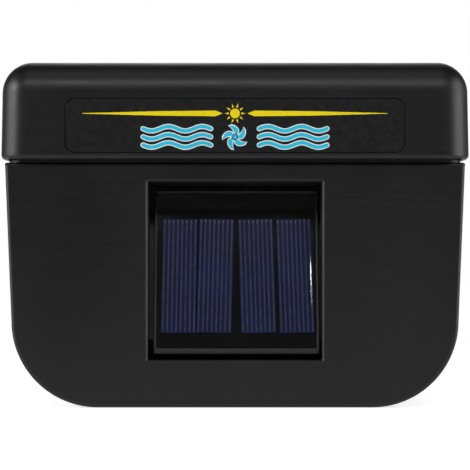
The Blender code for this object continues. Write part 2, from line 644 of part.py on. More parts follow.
def make_motor(motor, steel, black, rubber, brass):
    """The fixed half of the motor, in its own frame with the shaft along Z before it is turned along X."""
    bore = SHAFT + 2 * FIT
    can_inner = CAN - CAN_WALL
    bm = bmesh.new()
    floor = CAN_LEFT + CAN_WALL
    profile = [(CAN, CAN_RIGHT), (CAN, CAN_LEFT), (bore, CAN_LEFT)]
    profile += [(bore, floor), (can_inner, floor), (can_inner, CAN_RIGHT)]
    add_turned(bm, profile, ALONG_X, loop=True, sides=CAN_SIDES)
    node("motor_can", bm, steel, Matrix(), motor)
    rings = {
        "motor_cap": (bore, CAN, CAN_RIGHT + FIT, CAP_RIGHT, black),
        "motor_sleeve": (CAN + FIT, SLEEVE, -SLEEVE_HALF, SLEEVE_HALF - FIT, rubber),
    }
    for name, (inner, outer, left, right, finish) in rings.items():
        bm = bmesh.new()
        profile = [(inner, left), (outer, left), (outer, right), (inner, right)]
        add_turned(bm, profile, ALONG_X, loop=True, sides=CAN_SIDES)
        node(name, bm, finish, Matrix(), motor)
    for name, middle in (("magnet_rear", 0), ("magnet_front", 180)):
        bm = bmesh.new()
        ends = (middle - MAGNET_SPAN, middle + MAGNET_SPAN)
        outer = arc((0, 0), can_inner - FIT, *ends, 8)
        inner = arc((0, 0), can_inner - MAGNET_BACK, *ends[::-1], 8)
        add_prism(bm, outer + inner, "X", floor + FIT, CAN_RIGHT - 2 * FIT)
        node(name, bm, rubber, Matrix(), motor)
    for name, y in (("terminal_positive", -TERMINAL_Y), ("terminal_negative", TERMINAL_Y)):
        bm = bmesh.new()
        low = (TERMINAL_LEFT, y - MM, TERMINAL_LOW)
        add_box(bm, low, (TERMINAL_RIGHT, y + MM, TERMINAL_HIGH))
        node(name, bm, brass, Matrix(), motor)
    make_strap(motor, steel)


def make_strap(motor, steel):
    """The band over the motor, with a foot above and below it."""
    bm = bmesh.new()
    outer, inner = SLEEVE + FIT + STRAP_THICK, SLEEVE + FIT
    foot = SADDLE_Y + FIT - AXIS.y
    top = foot + STRAP_THICK
    upper = [(top, outer), (top, EAR_FAR), (foot, EAR_FAR), (foot, inner)]
    lower = [(y, -z) for y, z in reversed(upper)]
    outline = arc((0, 0), outer, -90, 90, 12) + upper + arc((0, 0), inner, 90, -90, 12) + lower
    add_prism(bm, outline, "X", -SLEEVE_HALF, SLEEVE_HALF)
    strap = node("motor_strap", bm, steel, Matrix(), motor)
    holes = bmesh.new()
    for z in STRAP_SCREW_Z:
        screw_space(holes, PAN, (0, STRAP_SEAT - AXIS.y - FIT, z - AXIS.z), TOWARD_REAR)
    cut(strap, holes)


def make_rotor(rotor, steel, drum_finish, iron):
    """Shaft, armature and drums, whose frame lies on the joint's axis."""
    bm = bmesh.new()
    chamfer = 0.4 * MM
    ends = [(SHAFT - chamfer, -SHAFT_HALF), (SHAFT, -SHAFT_HALF + chamfer)]
    add_turned(bm, ends + [(r, -h) for r, h in reversed(ends)], ALONG_X, sides=SCREW_SIDES)
    node("rotor_shaft", bm, steel, Matrix(), rotor)
    outline = []
    for pole in POLES:
        outline.append(around(POLE_SIDE, pole - POLE_SPAN + 2))
        outline += arc((0, 0), POLE_TIP, pole - POLE_SPAN, pole + POLE_SPAN, 6)
        outline.append(around(POLE_SIDE, pole + POLE_SPAN - 2))
        outline.append(around(POLE_ROOT, pole + 180 / len(POLES)))
    bm = bmesh.new()
    add_prism(bm, outline, "X", CORE_LEFT, CORE_RIGHT)
    armature = node("armature", bm, iron, Matrix(), rotor)
    bore = bmesh.new()
    add_rod(bore, SHAFT + FIT, CAN_LEFT, CAN_RIGHT, ALONG_X, sides=SCREW_SIDES)
    cut(armature, bore)
    for name, sign in (("impeller_left", -1), ("impeller_right", 1)):
        make_drum(name, sign, rotor, drum_finish)


def blade_outline(turn):
    """One blade seen along X. Its outer edge leads the way round."""
    steps = 3
    sides = ([], [])
    for i in range(steps + 1):
        share = i / steps
        reach = DRUM_INNER + (DRUM - FIT - DRUM_INNER) * share
        angle = turn - BLADE_CAMBER * share**BLADE_CURL
        half = BLADE_THICK / 2 / reach
        for side, shift in zip(sides, (half, -half)):
            side.append((reach * math.cos(angle + shift), reach * math.sin(angle + shift)))
    return sides[0] + sides[1][::-1]


def make_drum(name, sign, rotor, finish):
    bore = SHAFT + FIT
    bm = bmesh.new()
    for start, inward in ((DRUM_NEAR, 1), (DRUM_FAR, -1)):
        rows = [(bore, 0), (DRUM, 0), (DRUM, DISC), (HUB, DISC), (HUB, HUB_LONG), (bore, HUB_LONG)]
        profile = [(r, sign * (start + inward * h)) for r, h in rows]
        add_turned(bm, profile, ALONG_X, loop=True, sides=BLADES)
    drum = node(name, bm, finish, Matrix(), rotor)
    blades = bmesh.new()
    xs = sorted((sign * (DRUM_NEAR + DISC / 2), sign * (DRUM_FAR - DISC / 2)))
    for i in range(BLADES):
        add_prism(blades, blade_outline(2 * math.pi * i / BLADES), "X", *xs)
    fuse(drum, blades)


def scroll(grow):
    """The scroll wall seen along X at a distance outside its inner face, from the top to its last turn."""
    radii = (GUIDE_WIDE + grow, GUIDE_TIGHT + grow)
    top = (GUIDE_BACK + GUIDE_THICK - grow, GUIDE_TOP)
    return [top] + arc((AXIS.y, AXIS.z), radii, 180, GUIDE_END, 12)


def make_guide(name, sign, finish):
    inner = scroll(0) + [(GUIDE_LIP, GUIDE_LIP_Z)]
    outer = scroll(GUIDE_THICK) + [(GUIDE_LIP, GUIDE_LIP_Z - GUIDE_THICK - FIT)]
    bm = bmesh.new()
    add_prism(bm, inner + outer[::-1], "X", *sorted((sign * GUIDE_NEAR, sign * GUIDE_FAR)))
    guide = node(name, bm, finish)
    half = GUIDE_THICK / 2
    top, lip = GUIDE_TOP - half, GUIDE_LIP - half
    wall = [(GUIDE_BACK + half, top)] + scroll(half)[1:] + [(lip, GUIDE_LIP_Z - half), (lip, top)]
    cheek = bmesh.new()
    add_prism(cheek, wall, "X", *sorted((sign * CHEEK_FACE, sign * CHEEK_BACK)))
    screws = [(x, z) for x, z in GUIDE_SCREWS if x * sign > 0]
    for x, _ in screws:
        low = (x - TAB_HALF, GUIDE_BACK, TAB_LOW)
        add_box(cheek, low, (x + TAB_HALF, TAB_FRONT, TAB_HIGH))
    fuse(guide, cheek)
    holes = bmesh.new()
    ends = sorted((sign * (CHEEK_FACE - PAST), sign * (GUIDE_FAR + PAST)))
    add_rod(holes, BUSH + FIT, *ends, Matrix.Translation(AXIS) @ ALONG_X)
    for x, z in screws:
        screw_space(holes, SHORT_PAN, (x, TAB_FRONT, z), TOWARD_REAR)
    cut(guide, holes)


def make_bush(name, sign, brass):
    bore, face, collar = SHAFT + FIT, CHEEK_FACE - MM, GUIDE_FAR + FIT
    rows = [(bore, face), (BUSH, face), (BUSH, collar)]
    rows += [(BUSH_FLANGE, collar), (BUSH_FLANGE, BUSH_END), (bore, BUSH_END)]
    bm = bmesh.new()
    place = Matrix.Translation(AXIS) @ ALONG_X
    add_turned(bm, [(r, sign * h) for r, h in rows], place, loop=True)
    node(name, bm, brass)


def make_guides(finish, brass):
    for name, sign in (("left", -1), ("right", 1)):
        make_guide(f"air_guide_{name}", sign, finish)
        make_bush(f"bush_{name}", sign, brass)


def make_wire(name, points, finish):
    """A lead along a smooth curve through its points, in millimetres."""
    spots = [Vector(p) * MM for p in points]
    path = []
    for i in range(len(spots) - 1):
        before, here = spots[max(i - 1, 0)], spots[i]
        there, after = spots[i + 1], spots[min(i + 2, len(spots) - 1)]
        for step in range(3):
            t = step / 3
            leave, arrive = (there - before) / 2, (after - here) / 2
            path.append(
                here * (2 * t**3 - 3 * t**2 + 1)
                + leave * (t**3 - 2 * t**2 + t)
                + there * (3 * t**2 - 2 * t**3)
                + arrive * (t**3 - t**2)
            )
    path.append(spots[-1])
    data = bpy.data.curves.new(name, "CURVE")
    data.dimensions = "3D"
    data.bevel_depth = WIRE
    data.bevel_resolution = 2
    data.use_fill_caps = True
    spline = data.splines.new("POLY")
    spline.points.add(len(path) - 1)
    for point, spot in zip(spline.points, path):
        point.co = (*spot, 1)
    data.materials.append(finish)
    bpy.context.scene.collection.objects.link(bpy.data.objects.new(name, data))


def make_wires(panel, red, black):
    """Two leads: out of the tray's back, up through the bridge, over the glass and down to the motor."""
    starts = [panel.matrix_basis @ Vector((x, 0, WIRE_HOLE_Z)) / MM for x in WIRE_XS]
    red_over = [(4, -4, 89), (4, 3, 89.5), (4.2, 9.5, 87), (4.6, 13.6, 81)]
    black_over = [(7, -4, 91), (7, 6, 93), (6, 16, 90), (4.8, 21.6, 82)]
    climb = [(-15.2, 64.9), (-12.9, 65.8), (-12.1, 69), (-12.1, 78), (-10.6, 84.5)]
    terminal_x = (TERMINAL_LEFT + TERMINAL_RIGHT) / 2
    leads = (("wire_red", red, red_over, -TERMINAL_Y), ("wire_black", black, black_over, TERMINAL_Y))
    for start, (name, finish, over, y) in zip(starts, leads):
        end = (AXIS + Vector((terminal_x, y, TERMINAL_HIGH + FIT))) / MM
        make_wire(name, [start, *[(start.x, *spot) for spot in climb], *over, end], finish)


def make_screws(finish):
    pan = screw_mesh("pan_screw", PAN, False, finish)
    short = screw_mesh("short_screw", SHORT_PAN, False, finish)
    sunk = screw_mesh("sunk_screw", SUNK, True, finish)
    for i, (x, z) in enumerate(PLATE_SCREWS, 1):
        place_screw(f"plate_screw_{i}", sunk, (x, PLATE_SEAT, z), TOWARD_REAR)
    for i, (x, z) in enumerate(CASING_SCREWS, 1):
        place_screw(f"casing_screw_{i}", pan, (x, CASING_SEAT, z), TOWARD_REAR)
    for i, (x, y) in enumerate(BRIDGE_SCREWS, 1):
        place_screw(f"bridge_screw_{i}", pan, (x, y, BRIDGE_HIGH + FIT))
    for name, x in zip(("left", "right"), both(HOOD_SCREW_X)):
        place_screw(f"hood_screw_{name}", sunk, (x, HOOD_SEAT, HOOD_SCREW_Z), TOWARD_REAR)
    for name, z in zip(("lower", "upper"), STRAP_SCREW_Z):
        place_screw(f"strap_screw_{name}", pan, (0, STRAP_SEAT, z), TOWARD_REAR)
    for i, (x, z) in enumerate(GUIDE_SCREWS, 1):
        place_screw(f"guide_screw_{i}", short, (x, TAB_FRONT + FIT, z), TOWARD_REAR)


def main():
    clear_scene()
    abs_black = material("black_abs", BLACK_ABS, 0.42)
    inner_black = material("inner_black", INNER_BLACK, 0.5)
    rubber = material("rubber", DARK_RUBBER, 0.85)
    steel = material("steel", STEEL, 0.32, 1.0)
    brass = material("brass", BRASS, 0.3, 1.0)
    iron = material("iron", IRON, 0.45, 1.0)
    cell = material("cell", CELL_BLUE, 0.25)
    resin = material("resin", CLEAR_RESIN, 0.06)
    tilt = Matrix.Rotation(-PANEL_TILT, 4, "X")
    panel = empty("panel_frame", Matrix.Translation(PANEL_PLACE) @ tilt)
    motor = empty("motor_frame", Matrix.Translation(AXIS))
    rotor = empty("rotor_axis", Matrix.Translation(AXIS))
    make_hood(abs_black)
    make_badge(material("badge_gloss", BADGE_BLACK, 0.15))
    make_front_shell(abs_black, panel)
    make_rear_shell(abs_black)
    make_outer_plate(abs_black)
    make_inner_plate(abs_black)
    make_bridge(abs_black)
    make_glass_pads(rubber)
    make_panel(panel, inner_black, cell, resin)
    make_motor(motor, steel, inner_black, rubber, brass)
    make_rotor(rotor, steel, inner_black, iron)
    make_guides(inner_black, brass)
    make_wires(panel, material("red_pvc", RED_PVC, 0.4), material("black_pvc", BLACK_PVC, 0.4))
    make_screws(steel)


main()
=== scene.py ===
"""Looks of the solar car-window fan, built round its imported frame."""

import json
import math

import bmesh
import bpy
from mathutils import Matrix, Vector

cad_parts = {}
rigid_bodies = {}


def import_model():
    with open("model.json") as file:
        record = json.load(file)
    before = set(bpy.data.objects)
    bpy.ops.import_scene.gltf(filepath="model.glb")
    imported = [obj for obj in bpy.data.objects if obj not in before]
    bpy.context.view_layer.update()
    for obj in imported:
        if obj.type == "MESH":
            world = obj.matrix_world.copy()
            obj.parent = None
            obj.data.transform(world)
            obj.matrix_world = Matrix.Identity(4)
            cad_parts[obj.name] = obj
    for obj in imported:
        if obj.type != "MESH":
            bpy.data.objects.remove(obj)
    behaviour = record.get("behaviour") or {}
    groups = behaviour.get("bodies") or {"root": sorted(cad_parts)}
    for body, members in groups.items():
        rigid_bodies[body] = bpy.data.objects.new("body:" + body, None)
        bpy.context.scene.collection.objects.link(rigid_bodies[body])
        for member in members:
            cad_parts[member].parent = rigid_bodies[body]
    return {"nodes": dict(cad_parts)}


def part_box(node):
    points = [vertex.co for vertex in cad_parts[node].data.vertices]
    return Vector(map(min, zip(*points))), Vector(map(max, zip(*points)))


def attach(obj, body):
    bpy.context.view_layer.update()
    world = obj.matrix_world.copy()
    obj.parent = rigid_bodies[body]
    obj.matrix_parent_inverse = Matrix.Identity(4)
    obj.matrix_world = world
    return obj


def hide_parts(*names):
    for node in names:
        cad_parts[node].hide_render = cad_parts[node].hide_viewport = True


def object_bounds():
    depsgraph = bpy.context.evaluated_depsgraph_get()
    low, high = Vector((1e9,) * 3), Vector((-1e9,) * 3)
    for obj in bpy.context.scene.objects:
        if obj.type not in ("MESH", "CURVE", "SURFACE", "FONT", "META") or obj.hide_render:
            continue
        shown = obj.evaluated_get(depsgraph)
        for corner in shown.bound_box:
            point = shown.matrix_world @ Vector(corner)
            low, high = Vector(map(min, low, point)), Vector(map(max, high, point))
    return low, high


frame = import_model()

bl_info = {
    "name": "Solar window fan",
    "version": (1, 0, 0),
    "blender": (4, 5, 0),
    "location": "3D View > Sidebar > Solar Fan",
    "description": "Builds the visible pieces of a solar fan that hangs on a car's side window",
    "category": "Object",
}

MM = 0.001
CAD_LOW, CAD_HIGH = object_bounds()
NODES = frame["nodes"]
HOUSING, ROTOR = "housing", "rotor"
PAST = 4 * MM  # how far a cutter runs past a face
BITE = 0.6 * MM  # how far a fused piece goes into the wall that holds it
TOWARD_REAR = Matrix.Rotation(-math.pi / 2, 4, "X")
ALONG_X = Matrix.Rotation(math.pi / 2, 4, "Y")
SHARP = math.radians(40)  # faces that meet at more than this keep their edge
EVEN_WEIGHT = 100  # how much the larger faces decide the shading


def span(node, axis):
    """A CAD node's lowest and highest place along an axis."""
    low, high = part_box(node)
    index = "XYZ".index(axis)
    return low[index], high[index]


# Places read from the frame
HOOD_LOW, HOOD_TOP = span("hood", "Z")
FACE = span("front_shell", "Y")[0]
FRONT_SEAM = span("front_shell", "Y")[1]
REAR_SEAM = span("rear_shell", "Y")[0]
GLASS_FRONT, GLASS_REAR = span("outer_plate", "Y")[1], span("inner_plate", "Y")[0]
COLLAR_TOP = span("front_shell", "Z")[1]
PLATE_TOP = span("outer_plate", "Z")[1]
CASE_HALF = span("front_shell", "X")[1]
WIDEST_Y = -31 * MM  # where the hood looks widest to the camera
BADGE_HALF = span("badge", "X")[1]
BADGE_LOW, BADGE_HIGH = span("badge", "Z")
BADGE_FRONT, BADGE_BACK = span("badge", "Y")
AXIS = Vector((0, *((a + b) / 2 for a, b in (span("rotor_shaft", "Y"), span("rotor_shaft", "Z")))))
DRUM_NEAR, DRUM_FAR = span("impeller_right", "X")

# Sizes of the design that the frame's boxes don't give
CORNER, CORNER_X = 29.3 * MM, 46.7 * MM
SHOULDER = HOOD_LOW - 0.8 * MM
HOOD_TAPER = 0.6 * MM
BED_DEEP = 0.7 * MM  # from the label's face to the floor of its bed
MOTOR_BED, SADDLE_HALF = 13.1 * MM, 3.6 * MM
EAR_HALF, EAR_LOW = 5 * MM, 70 * MM
TONGUE = ((26.2, 69), (26.6, 67.6), (34.2, 74.4), (34.2, 76))  # over the drums, (y, z) in mm
TONGUE_NEAR, TONGUE_FAR = 12 * MM, 52 * MM
CLIP_X, CLIP_HALF, CLIP_LOW, CLIP_HIGH = 42 * MM, 6 * MM, 88 * MM, 90 * MM
COLLAR_IN, COLLAR_THICK, COLLAR_ROUND, COLLAR_LOW = 1 * MM, 1.6 * MM, 6 * MM, 79 * MM
WINDOW_HALF, WINDOW_LOW, WINDOW_HIGH = 29.55 * MM, 16.15 * MM, 76.75 * MM
RECESS_BACK, RECESS_DROP, RECESS_WALL = -14.2 * MM, 1.6 * MM, 1.6 * MM
SLOT_PITCH, SLOT_WIDE, SLOT_ROUND = 5.4 * MM, 3 * MM, 0.9 * MM
EXHAUST_COUNT, EXHAUST_MIDDLE, EXHAUST_LONG = 17, -22.5 * MM, 17 * MM
GRILLE_COUNT, GRILLE_MIDDLE, GRILLE_LONG = 19, 56 * MM, 32 * MM
PANEL_PLACE = Matrix.Translation(Vector((0.5, -30.8, 17.3)) * MM)
PANEL_FRAME = PANEL_PLACE @ Matrix.Rotation(-math.radians(15), 4, "X")
TRAY_HALF, TRAY_LONG, TRAY_FLOOR, TRAY_RIM = 28.3 * MM, 58 * MM, 1.2 * MM, 3.4 * MM
TRAY_SIDE, TRAY_BAR, RESIN_UNDER = 0.8 * MM, 2 * MM, -2.3 * MM
POCKET_HALF, POCKET_TOP = TRAY_HALF - TRAY_SIDE, TRAY_LONG - TRAY_SIDE
CELL_WIDE, CELL_LONG, CELL_LOW = 11.95 * MM, 40.5 * MM, 7.5 * MM
CELLS = ((-19.7, 0.6), (-7.3, 1.3), (7.1, -1.6), (20.25, -1.6))  # middle in mm, lean in degrees
DRUM, DRUM_INNER, DISC = 12.2 * MM, 8.8 * MM, 1.2 * MM

# Screws: head radius, head height, shank radius, length under the head
PAN = (2.5 * MM, 1.5 * MM, 1.3 * MM, 9 * MM)
SHORT_PAN = (2.1 * MM, 1.2 * MM, 1 * MM, 3.4 * MM)
SUNK = (2.5 * MM, 1.2 * MM, 1.3 * MM, 9 * MM)
SCREW_GAP, THREAD_PITCH = 0.3 * MM, 0.9 * MM


# User settings


def amount(name, text, default, **more):
    return bpy.props.FloatProperty(name=name, description=text, default=default, **more)


def length(name, text, default):
    return amount(name, text, default, min=0, unit="LENGTH", precision=5)


def watts(name, text, default):
    return amount(name, text, default, min=0, unit="POWER")


def number_of(name, text, default, least, most):
    return bpy.props.IntProperty(
        name=name, description=text, default=default, min=least, max=most
    )


def colour(name, text, default):
    return bpy.props.FloatVectorProperty(
        name=name, description=text, default=default, min=0, max=1, size=3, subtype="COLOR"
    )


class FanShellSettings(bpy.types.PropertyGroup):
    wall: length("Wall", "Thickness of the moulded walls", 2.4 * MM)
    hood_round: length("Hood rounding", "Radius of the hood's upright and upper edges", 10.3 * MM)
    lip_round: length("Lip rounding", "Radius of the hood's lower rim", 2 * MM)
    case_round: length("Casing rounding", "Radius of the casings' face edges", 1.5 * MM)
    shoulder_round: length("Shoulder rounding", "Radius of the edge under the hood", 1.0 * MM)
    chamfer: length("Window chamfer", "Width of the slope round the window", 0.75 * MM)
    plastic: colour("Plastic", "Colour of the casings", (0.0052, 0.0052, 0.0058))


class FanPanelSettings(bpy.types.PropertyGroup):
    fingers: number_of("Fingers", "Printed lines on each cell", 8, 1, 40)
    finger_wide: length("Finger width", "Width of a printed line", 0.5 * MM)
    finger_pitch: length("Finger pitch", "Distance between printed lines", 1.53 * MM)
    silicon: colour("Silicon", "Colour of the cells", (0.0125, 0.019, 0.098))
    silver: colour("Finger", "Colour of the printed lines", (0.085, 0.084, 0.145))


class FanBadgeSettings(bpy.types.PropertyGroup):
    ground: colour("Ground", "Colour of the label", (0.0055, 0.0055, 0.0062))
    stripe: colour("Stripe", "Colour of the tapered lines and the sun", (1.0, 0.79, 0.0))
    sign: colour("Sign", "Colour of the signs", (0.02, 0.62, 0.86))
    outline: colour("Outline", "Colour round the signs", (0.9, 0.93, 0.93))


class FanRotorSettings(bpy.types.PropertyGroup):
    blades: number_of("Blades", "Blades of each drum", 18, 6, 60)
    thickness: length("Blade thickness", "Thickness of a blade", 0.8 * MM)
    camber: amount(
        "Camber", "How far a blade leans the way round", math.radians(34), unit="ROTATION"
    )


class FanStudioSettings(bpy.types.PropertyGroup):
    camera_distance: length("Camera distance", "From the hood's widest line to the camera", 0.65)
    camera_height: length("Camera height", "Height of the camera over the floor", 58.6 * MM)
    view_width: length("View width", "Width of the view at the hood's widest line", 160.6 * MM)
    side_power: watts("Side light", "Power of each side light", 2.2)
    front_power: watts("Front light", "Power of the raised front light", 1.9)
    top_power: watts("Top light", "Power of the top light", 0.35)
    floor_glow: amount("Floor glow", "Light that the floor gives of its own", 0.85, min=0)
    floor_reach: length("Floor reach", "Distance at which the floor has faded out", 0.42)
    backdrop: colour("Backdrop", "Colour of the floor and the backdrop", (0.86, 0.86, 0.86))


# Mesh building


def add_faces(bm, points, faces, place=Matrix()):
    verts = [bm.verts.new(place @ Vector(p)) for p in points]
    for face in faces:
        bm.faces.new([verts[i] for i in face])
    return verts


def add_prism(bm, outline, axis, low, high, place=Matrix()):
    """A flat outline pushed along an axis. Its numbers are the other two axes in their order."""
    slot = "XYZ".index(axis)
    rows = [[(*p[:slot], at, *p[slot:]) for p in outline] for at in (low, high)]
    count = len(outline)
    sides = [(i, (i + 1) % count, count + (i + 1) % count, count + i) for i in range(count)]
    caps = [tuple(range(count)), tuple(range(2 * count - 1, count - 1, -1))]
    return add_faces(bm, rows[0] + rows[1], sides + caps, place)


def add_box(bm, low, high, place=Matrix()):
    (x0, y0, z0), (x1, y1, z1) = low, high
    return add_prism(bm, [(x0, y0), (x1, y0), (x1, y1), (x0, y1)], "Z", z0, z1, place)


def add_loft(bm, outlines, place=Matrix(), loop=False):
    """A form through equally long rows of points: capped, or back to its first row in a loop."""
    rows = [[bm.verts.new(place @ Vector(p)) for p in outline] for outline in outlines]
    for one, other in zip(rows, rows[1:] + (rows[:1] if loop else [])):
        for i in range(len(one)):
            j = (i + 1) % len(one)
            bm.faces.new((one[i], one[j], other[j], other[i]))
    if not loop:
        bm.faces.new(rows[0])
        bm.faces.new(rows[-1])


def add_turned(bm, profile, place=Matrix(), loop=False, sides=48):
    """A profile of (radius, height) turned round Z. A loop profile is a ring."""
    angles = [2 * math.pi * i / sides for i in range(sides)]
    rows = [[(r * math.cos(a), r * math.sin(a), height) for a in angles] for r, height in profile]
    add_loft(bm, rows, place, loop)


def add_rod(bm, radius, low, high, place=Matrix(), sides=32):
    add_turned(bm, [(radius, low), (radius, high)], place, sides=sides)


def arc(centre, radius, start, stop, steps):
    """Points on an arc in degrees, both ends included."""
    angles = [math.radians(start + (stop - start) * i / steps) for i in range(steps + 1)]
    return [(centre[0] + radius * math.cos(a), centre[1] + radius * math.sin(a)) for a in angles]


def mirrored(right):
    """A right half outline from bottom to top, closed with its left half."""
    return right + [(-x, z) for x, z in reversed(right)]


def rounded_rectangle(half_wide, half_high, radius, steps=6):
    x, y = half_wide - radius, half_high - radius
    right = arc((x, -y), radius, -90, 0, steps) + arc((x, y), radius, 0, 90, steps)
    return mirrored(right)


def both(*values):
    """Each value on the left and on the right."""
    return [sign * value for value in values for sign in (-1, 1)]


def edges_at(bm, plane):
    """The edges that lie in a plane across Y."""
    return [e for e in bm.edges if all(abs(v.co.y - plane) < 0.05 * MM for v in e.verts)]


def round_edges(bm, edges, radius, segments):
    bmesh.ops.recalc_face_normals(bm, faces=bm.faces)
    bmesh.ops.bevel(bm, geom=edges, offset=radius, segments=segments, profile=0.5, affect="EDGES")


def link(name, data):
    obj = bpy.data.objects.new(name, data)
    bpy.context.scene.collection.objects.link(obj)
    return obj


def to_object(name, bm):
    bmesh.ops.recalc_face_normals(bm, faces=bm.faces)
    return plain_object(name, bm)


def plain_object(name, bm):
    mesh = bpy.data.meshes.new(name)
    bm.to_mesh(mesh)
    bm.free()
    return link(name, mesh)


def soft_box(name, low, high, radius, segments=3):
    """A box with all its edges rounded."""
    bm = bmesh.new()
    add_box(bm, low, high)
    round_edges(bm, list(bm.edges), radius, segments)
    return to_object(name, bm)


def join(name, objects):
    """Several mesh objects as one."""
    bm = bmesh.new()
    for obj in objects:
        bm.from_mesh(obj.data)
        bpy.data.objects.remove(obj, do_unlink=True)
    return plain_object(name, bm)


def apply_modifiers(obj):
    """Turns the evaluated object into a plain mesh and drops its modifiers."""
    bpy.context.view_layer.update()
    graph = bpy.context.evaluated_depsgraph_get()
    mesh = bpy.data.meshes.new_from_object(obj.evaluated_get(graph))
    old = obj.data
    obj.modifiers.clear()
    obj.data = mesh
    mesh.name = obj.name
    if old.users == 0:
        bpy.data.meshes.remove(old)
    return obj


def combine(obj, other, operation):
    """Joins or cuts at once. The other shape is a bmesh or an object, and is used up."""
    helper = to_object("helper", other) if isinstance(other, bmesh.types.BMesh) else other
    modifier = obj.modifiers.new("Combine", "BOOLEAN")
    modifier.operation = operation
    modifier.object = helper
    apply_modifiers(obj)
    bpy.data.objects.remove(helper, do_unlink=True)
    return obj


def cut(obj, other):
    return combine(obj, other, "DIFFERENCE")


def fuse(obj, other):
    return combine(obj, other, "UNION")


def finish_piece(obj, body, slot, replaced=(), finish=None):
    """Shades a piece, gives it its finish, and ties it to the frame."""
    obj.data.materials.clear()
    obj.data.materials.append(finish or MATERIALS[slot])
    obj.data.shade_smooth()
    obj.data.set_sharp_from_angle(angle=SHARP)
    even = obj.modifiers.new("Even shading", "WEIGHTED_NORMAL")
    even.keep_sharp = True
    even.weight = EVEN_WEIGHT
    apply_modifiers(obj)
    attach(obj, body)
    if replaced:
        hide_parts(*replaced)
    return obj


# Geometry Nodes


def new_node(tree, kind, *sources, **values):
    """A node. Values go to properties and inputs by their name, sources to inputs in order."""
    node = tree.nodes.new(kind)
    for label, value in [*values.items(), *enumerate(sources)]:
        target = label.replace("_", " ") if isinstance(label, str) else label
        if label in node.bl_rna.properties.keys():
            setattr(node, label, value)
        elif isinstance(value, bpy.types.NodeSocket):
            tree.links.new(value, node.inputs[target])
        elif value is not None:
            node.inputs[target].default_value = value
    return node


class Tree:
    """A geometry node tree with named inputs that ends in Realize Instances and Set Material."""

    def __init__(self, name, **inputs):
        self.group = bpy.data.node_groups.new(name, "GeometryNodeTree")
        sockets = self.group.interface
        self.ids = {}
        inputs = {"Geometry": "Geometry", "copied": "Object", **inputs, "finish": "Material"}
        for label, kind in inputs.items():
            made = sockets.new_socket(label, in_out="INPUT", socket_type=f"NodeSocket{kind}")
            self.ids[label] = made.identifier
        sockets.new_socket("Geometry", in_out="OUTPUT", socket_type="NodeSocketGeometry")
        self.inputs = self.add("NodeGroupInput")

    def add(self, kind, *sources, **values):
        return new_node(self.group, kind, *sources, **values)

    def wanted(self, label):
        return self.inputs.outputs[label]

    def copies(self, points, **turn):
        """A copy of the given object at each point."""
        source = self.add("GeometryNodeObjectInfo", Object=self.wanted("copied"))
        shape = source.outputs["Geometry"]
        made = self.add("GeometryNodeInstanceOnPoints", Points=points, Instance=shape, **turn)
        return made.outputs[0]

    def close(self, copies):
        real = self.add("GeometryNodeRealizeInstances", copies).outputs[0]
        finish = self.wanted("finish")
        coated = self.add("GeometryNodeSetMaterial", Geometry=real, Material=finish)
        self.add("NodeGroupOutput", coated.outputs[0])
        return self

    def grow(self, name, points=(), **values):
        """An object from the tree, turned into a plain mesh."""
        mesh = bpy.data.meshes.new(name)
        mesh.from_pydata(points, [], [])
        obj = link(name, mesh)
        modifier = obj.modifiers.new(name, "NODES")
        modifier.node_group = self.group
        for label, value in values.items():
            modifier[self.ids[label]] = value
        apply_modifiers(obj)
        bpy.data.objects.remove(values["copied"], do_unlink=True)
        return obj


def row_tree():
    """Copies of an object along a straight line."""
    tree = Tree("Row of copies", count="Int", start="Vector", step="Vector")
    line = tree.add(
        "GeometryNodeMeshLine",
        Count=tree.wanted("count"),
        Start_Location=tree.wanted("start"),
        Offset=tree.wanted("step"),
    )
    return tree.close(tree.copies(line.outputs[0]))


def ring_tree():
    """Copies of an object turned round an axis through the origin."""
    tree = Tree("Ring of copies", count="Int", axis="Vector")
    count = tree.wanted("count")
    points = tree.add("GeometryNodePoints", Count=count).outputs[0]
    index = tree.add("GeometryNodeInputIndex").outputs[0]
    share = tree.add("ShaderNodeMath", index, count, operation="DIVIDE").outputs[0]
    angle = tree.add("ShaderNodeMath", share, 2 * math.pi, operation="MULTIPLY").outputs[0]
    turn = tree.add("FunctionNodeAxisAngleToRotation", Axis=tree.wanted("axis"), Angle=angle)
    return tree.close(tree.copies(points, Rotation=turn.outputs[0]))


def scatter_tree():
    """A copy of an object at each given point, each with its own small turn about its axis."""
    tree = Tree("Copies at points", turn="Vector", spread="Float", seed="Int")
    copies = tree.copies(tree.wanted("Geometry"), Rotation=tree.wanted("turn"))
    loose = tree.add("FunctionNodeRandomValue", Seed=tree.wanted("seed"))
    tree.group.links.new(tree.wanted("spread"), loose.inputs[3])
    spin = tree.add("ShaderNodeCombineXYZ", Z=loose.outputs[1]).outputs[0]
    turned = tree.add("GeometryNodeRotateInstances", Instances=copies, Rotation=spin)
    return tree.close(turned.outputs[0])


TREES = {}


def row_of(copied, count, middle, step):
    """Copies along a line, centred on a place."""
    start = Vector(middle) - Vector(step) * (count - 1) / 2
    return TREES["row"].grow("row", copied=copied, count=count, start=start, step=step)


def ring_of(copied, count, axis, place=(0, 0, 0)):
    """Copies turned round an axis through the origin, then put at a place."""
    grown = TREES["ring"].grow("ring", copied=copied, count=count, axis=axis)
    grown.data.transform(Matrix.Translation(place))
    return grown


# Materials

MATERIALS = {}


